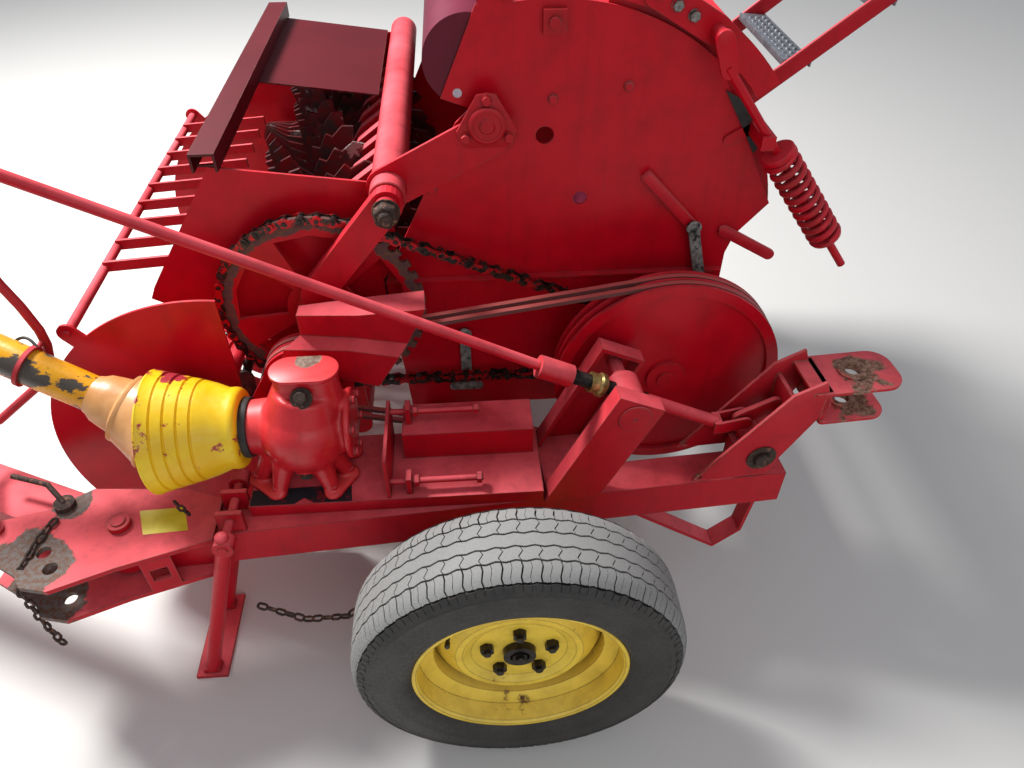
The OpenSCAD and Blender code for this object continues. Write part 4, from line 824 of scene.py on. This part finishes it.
# %% Tailgate spring
SPRING_TOP, SPRING_LOW = at(574, -305, 1114), at(724, -305, 920)
spring_frame = aim(SPRING_TOP, SPRING_LOW - SPRING_TOP)
spring_length = (SPRING_LOW - SPRING_TOP).length
WINDINGS = 10.5
POINTS = int(WINDINGS * 20)   # twenty to a winding
COIL_RADIUS = 0.03
coil = []
for i in range(POINTS + 1):
    angle = math.tau * WINDINGS * i / POINTS
    x, y = COIL_RADIUS * math.cos(angle), COIL_RADIUS * math.sin(angle)
    coil.append(spring_frame @ Vector((x, y, spring_length * i / POINTS)))
bm = bmesh.new()
put(bm, bar(coil, 7.2, sides=10), [STILL])
put(bm, bar([at(436, -305, 1292), at(784, -305, 842)], 9, sides=14), [STILL])
put(bm, lathe([(0, -9), (33, -9), (36, -6), (36, 2), (33, 4), (24, 6), (0, 6)], 28), [spring_frame])
put(bm, lathe([(0, -4), (34, -4), (36, 0), (34, 6), (0, 6)], 28), [aim(SPRING_LOW, SPRING_LOW - SPRING_TOP)])
put(bm, plate(round_ended((420, 1343), (440, 1288), 36), 12, 1.5), [placed(0, -311, 0)])
piece("spring_and_rod", bm, sheet_red, "chassis", ["gate_spring"])

# %% Latches and their arms
bm = bmesh.new()
arm = [(311, 1042), (440, 905), (458, 921), (329, 1058)]
put(bm, plate(arm, 20, 2.0), [placed(0, -255, 0)])
put(bm, plate(round_ended((518, 902), (637, 834), 26), 10, 1.5), [placed(0, -245, 0)])
piece("latch_arms", bm, beam_red, "chassis", ["latches"])
bm = bmesh.new()
for (x0, z0), (x1, z1), y in (((-83, 646), (-82, 475), -254), ((440, 925), (478, 778), -262)):
    strap = plate(round_ended((x0, z0), (x1, z1), 26), 9, 2.0)
    put(bm, strap, [placed(0, y, 0)])
    put(bm, plate(round_ended((x1 - 36, z1), (x1 + 30, z1), 20), 14, 4.0), [placed(0, y - 4, 0)])
    ring = [at(x, y - 1, z) for x, z in circle(x0, z0, 13, 24)]
    put(bm, bar(ring, 4.5, closed=True), [STILL])
piece("rubber_latches", bm, latch_rubber, "chassis", ["latches"])

# %% Ladder
LADDER_FOOT, LADDER_TOP = Vector((614, 1103)), Vector((1226.4, 1598.9))
TREAD_SECTION = [(-35, -12), (-31, -12), (-31, -1), (31, -1), (31, -12), (35, -12), (35, 4), (-35, 4)]
bm = bmesh.new()
for y in (15, 365):
    rail = plate(round_ended(LADDER_FOOT, LADDER_TOP, 40), 8, 1.5)
    put(bm, rail, [placed(0, y, 0)])
    put(bm, bar([at(614, y - 2, 1103), at(614, y + 34, 1103)], 10, sides=16), [STILL])
piece("ladder_rails", bm, beam_red, "ladder_body", ["ladder"])
bm = bmesh.new()
for share in (0.16, 0.42, 0.68, 0.94):
    spot = LADDER_FOOT.lerp(LADDER_TOP, share)
    tread = plate(TREAD_SECTION, 342, 0.8)
    put(bm, tread, [placed(spot.x, 23, spot.y) @ Matrix.Rotation(math.radians(4), 4, "Y")])
    for row in (-18, 0, 18):
        stud = lathe([(0, 0), (6, 0), (4, 4), (0, 4.5)], 10)
        put(bm, stud, [placed(spot.x + row, 42 + 26 * k, spot.y + 3.5) for k in range(12)])
piece("ladder_treads", bm, galvanised, "ladder_body", ["ladder"])


# %% [markdown]
# ## Safety chains and plates
# Short-link chains hold the drawbar's pin and the stand. A link is a closed oval of wire, and every
# second one is turned a quarter. The yellow plate on the drawbar and the small dot on the side sheet are
# left blank.

# %% Link chains
def link_chain(bm, points, wire=3.2, length=27.0, width=19.0):
    """Links of a chain laid along a line of points in metres; sizes in millimetres."""
    straight = (length - width) / 2000
    bend = width / 2000 - wire / 1000
    oval = [(bend * math.cos(a), bend * math.sin(a) + math.copysign(straight, math.sin(a) + 1e-9))
            for a in turns(16)]
    step = (length - 2 * wire) / 1000
    spots, total, turn = [], 0.0, 0
    for p, q in zip(points, points[1:]):
        way = q - p
        while total < way.length:
            spots.append(aim(p + way.normalized() * total, way, 90 * (turn % 2) + 14 * math.sin(2.1 * turn)))
            total += step
            turn += 1
        total -= way.length
    put(bm, bar([Vector((x, 0, z)) for x, z in oval], wire, closed=True, sides=8), spots)


bm = bmesh.new()
link_chain(bm, [at(-985, -640, 486), at(-1000, -690, 486), at(-1012, -752, 480), at(-1016, -782, 440),
                at(-1010, -788, 330), at(-1000, -790, 255)])
link_chain(bm, [at(-705, -655, 542), at(-700, -652, 520), at(-694, -650, 505)], 2.6, 24, 16)
link_chain(bm, [at(-560, -760, 300), at(-470, -775, 262), at(-380, -778, 268), at(-300, -770, 318)], 3.0)
piece("safety_chains", bm, rusty_iron, "chassis")

# %% Blank plates
bm = bmesh.new()
info = [(-811, -617), (-715, -613), (-693, -677), (-786, -683)]
put(bm, plate(info, 0.9), [placed(0, 0, 480.5) @ UPRIGHT])
piece("blank_plate", bm, sticker_yellow, "chassis")
bm = bmesh.new()
put(bm, lathe([(0, 0), (9, 0), (9, 0.8), (0, 0.8)], 24), [aim(at(-73, -235, 1231), SIDE)])
piece("blank_dot", bm, dot_white, "chassis")

# %% [markdown]
# ## Folded belt guard, bearing cover and rubber flap
# The guard over the belt is one sheet with four folds, which give it two ledges. It starts as a grid whose
# rows are the edges and the folds, each point is moved to its place, and solidify gives the sheet thickness.

# %% Belt guard
GUARD_FOLDS = [  # one row a fold, from the top edge down, with places from the front to the rear
    [(-428, -394, 850), (-300, -374, 850), (-165, -357, 850)],
    [(-430, -425, 849), (-300, -427, 844), (-161, -425, 851)],
    [(-434, -412, 789), (-322, -408, 772), (-208, -405, 747)],
    [(-466, -445, 776), (-335, -440, 762), (-228, -425, 725)],
    [(-488, -432, 722), (-400, -430, 690), (-281, -425, 645)],
    [(-480, -352, 702), (-392, -352, 672), (-281, -352, 640)],
]
bm = bmesh.new()
bmesh.ops.create_grid(bm, x_segments=2, y_segments=5, size=1)
for vert in bm.verts:
    row, column = round((vert.co.y + 1) * 2.5), round(vert.co.x + 1)
    vert.co = at(*GUARD_FOLDS[row][column])
bmesh.ops.recalc_face_normals(bm, faces=bm.faces)
bmesh.ops.solidify(bm, geom=bm.faces[:], thickness=0.0025)
piece("folded_belt_guard", bm, beam_red, "chassis", ["belt_guard"], crease=12)

# %% Bearing cover, flap and painted shadow
COVER = (-18, 1184)  # x and z of the cover's middle
angles = [math.radians(corner + step) for corner in (90, 210, 330) for step in (-18, 0, 18)]
triangle = [(62 * math.cos(a), 62 * math.sin(a)) for a in angles]
bm = bmesh.new()
put(bm, plate(triangle, 9, 2.0), [placed(COVER[0], -281, COVER[1])])
put(bm, lathe([(0, -1), (37, -1), (37, 8), (33, 11), (29, 11), (28, 9), (16, 9), (13, 13), (0, 14)], 32),
    [aim(at(COVER[0], -280, COVER[1]), SIDE)])
spots = [(COVER[0] + BOLT_CIRCLE * math.cos(a), COVER[1] + BOLT_CIRCLE * math.sin(a)) for a in BOLT_TURNS]
put(bm, bolt(17, 9), [aim(at(x, -281, z), SIDE, 9) for x, z in spots])
piece("bearing_cover", bm, casting_red, "chassis")
bm = bmesh.new()
put(bm, plate([(463, 1224), (513, 1196), (566, 1118), (547, 1088)], 4), [placed(0, -241, 0)])
piece("rubber_flap", bm, black_rubber, "chassis")
# A thin dark sheet on the platform in front of the gearbox, with red flecks: a painted shadow of the gearbox
bm = bmesh.new()
shadow_outline = [(-566, -638), (-470, -638), (-450, -622), (-428, -638), (-345, -638), (-350, -590), (-566, -594)]
put(bm, plate(shadow_outline, 0.9), [placed(0, 0, 500.6) @ UPRIGHT])
piece("painted_gearbox_shadow", bm, painted_shadow_sheet, "chassis")

# %% [markdown]
# ## Cross tube and strips between the rotor discs
# A plain tube carries flat strips that keep straw off the rotor. The strips are seen on their broad side.

# %% Cross tube
FIRST_DISC_Y, DISC_PITCH, STRIPS = -190, 78, 10
STRIP = [(-214, 1018), (-252, 1022), (-330, 965), (-392, 872), (-384, 866), (-318, 955), (-248, 1010)]
bm = bmesh.new()
put(bm, lathe([(0, 0), (36, 0), (38, 2), (38, 1053), (36, 1055), (0, 1055)], 40),
    [aim(at(STRUT_PIN[0], -315, STRUT_PIN[1]), (0, 1, 0))])
for i in range(STRIPS):
    y = FIRST_DISC_Y + DISC_PITCH * (i + 0.5) - 11
    put(bm, plate(STRIP, 30, 1.0), [placed(0, y, 0)])
piece("cross_tube_and_strips", bm, beam_red, "chassis", ["cross_tube"])

# %% [markdown]
# ## Rear hitch and crank spindle
# The hitch is folded from plate: two cheeks on a pivot bolt, and a head of two round-cornered plates with
# a bushed hole. Behind the universal joint the crank turns a threaded spindle in a brass nut.

# %% Rear hitch
BEAM_START = (-780, -696)   # the beam's front end on the ground plan
BEAM_SKEW = 3.9             # degrees by which the beam runs in towards the rear
HITCH_BORE = (749, 43, 16)  # x, y and radius in the beam's own directions
HITCH_PIVOT = (565, 548)    # x and z of the pivot bolt in the beam's own directions
along_beam = placed(*BEAM_START, 0) @ Matrix.Rotation(math.radians(BEAM_SKEW), 4, "Z") \
    @ Matrix.Translation((-BEAM_START[0] / 1000, 0, 0))


def on_beam(x, y, z):
    """A matrix that moves the origin to a place in millimetres in the beam's own directions."""
    return along_beam @ Matrix.Translation((x / 1000, y / 1000, z / 1000))


def rounded(x0, x1, y0, y1, near, far):
    """Outline of a rectangle whose corners are rounded with one radius at each end."""
    corners = [(x1 - far, y0 + far, far, 270), (x1 - far, y1 - far, far, 0),
               (x0 + near, y1 - near, near, 90),
               (x0 + near, y0 + near, near, 180)]
    return [(x + r * math.cos(math.radians(a + 15 * i)), y + r * math.sin(math.radians(a + 15 * i)))
            for x, y, r, a in corners for i in range(7)]


bm = bmesh.new()
cheek = [(414, 489), (598, 727), (664, 759), (689, 690), (609, 540), (590, 489)]
for y in (-14, 92):
    put(bm, plate(cheek, 8, 1.5, holes=[(430, 500, 7)]), [on_beam(0, y, 0)])
put(bm, plate(rounded(640, 850, -20, 106, 14, 44), 8, 1.5, holes=[HITCH_BORE]),
    [on_beam(0, 0, 730) @ UPRIGHT])
put(bm, plate(rounded(672, 830, -20, 106, 8, 38), 8, 1.5, holes=[HITCH_BORE]),
    [on_beam(0, 0, 648) @ UPRIGHT])
put(bm, plate([(672, 640), (684, 640), (684, 730), (672, 730)], 114, 1.0),
    [on_beam(0, -14, 0)])
for z, high in ((729, 7), (640, 14)):
    put(bm, lathe([(16, 0), (30, 0), (30, high - 1), (28, high), (16, high)], 32),
        [on_beam(*HITCH_BORE[:2], z)])
put(bm, plate(round_ended((528, 612), (600, 645), 38), 12, 1.5, holes=[(528, 612, 10)]),
    [on_beam(0, 46, 0)])
put(bm, plate([(610, 600), (620, 600), (620, 700), (610, 700)], 100, 1.0),
    [on_beam(0, -7, 0)])
put(bm, lathe([(0, 0), (14, 0), (14, 122), (0, 122)], 24),
    [on_beam(HITCH_PIVOT[0], -18, HITCH_PIVOT[1]) @ aim((0, 0, 0), (0, 1, 0))])
piece("folded_hitch", bm, hitch_red, "hitch", ["rear_hitch"])
bm = bmesh.new()
put(bm, lathe([(20, 0), (34, 0), (34, 3), (20, 3)], 32),
    [on_beam(HITCH_PIVOT[0], -14, HITCH_PIVOT[1]) @ aim((0, 0, 0), SIDE)])
put(bm, bolt(36, 12), [on_beam(HITCH_PIVOT[0], -15, HITCH_PIVOT[1]) @ aim((0, 0, 0), SIDE, 12)])
piece("hitch_pivot_nut", bm, rusty_iron, "hitch")

# %% Spindle and trunnion caps
bm = bmesh.new()
THREAD_PITCH = 5
spindle_low, spindle_top = at(300, -555, 683.5), at(128, -555, 765)
length = (spindle_top - spindle_low).length * 1000
thread = [(0, 0)]
for i in range(int(length / THREAD_PITCH)):
    thread += [(14.6, THREAD_PITCH * i), (16, THREAD_PITCH * (i + 0.5))]
thread += [(14.6, length), (0, length)]
put(bm, lathe(thread, 24), [aim(spindle_low, spindle_top - spindle_low)])
piece("threaded_spindle", bm, greasy_steel, "chassis")
bm = bmesh.new()
put(bm, lathe([(15, 0), (24, 0), (26, 3), (26, 12), (22, 16), (22, 34), (15, 34)], 28),
    [aim(at(205, -555, 728.5), spindle_top - spindle_low)])
piece("spindle_nut", bm, brass, "chassis")
bm = bmesh.new()
put(bm, lathe([(0, 0), (35, 0), (36, 1.5), (34, 3.5), (5, 4), (4, 2.5), (0, 2.5)], 36),
    [on_beam(262, -8, 704) @ aim((0, 0, 0), SIDE)])
piece("trunnion_cap", bm, beam_red, "chassis")
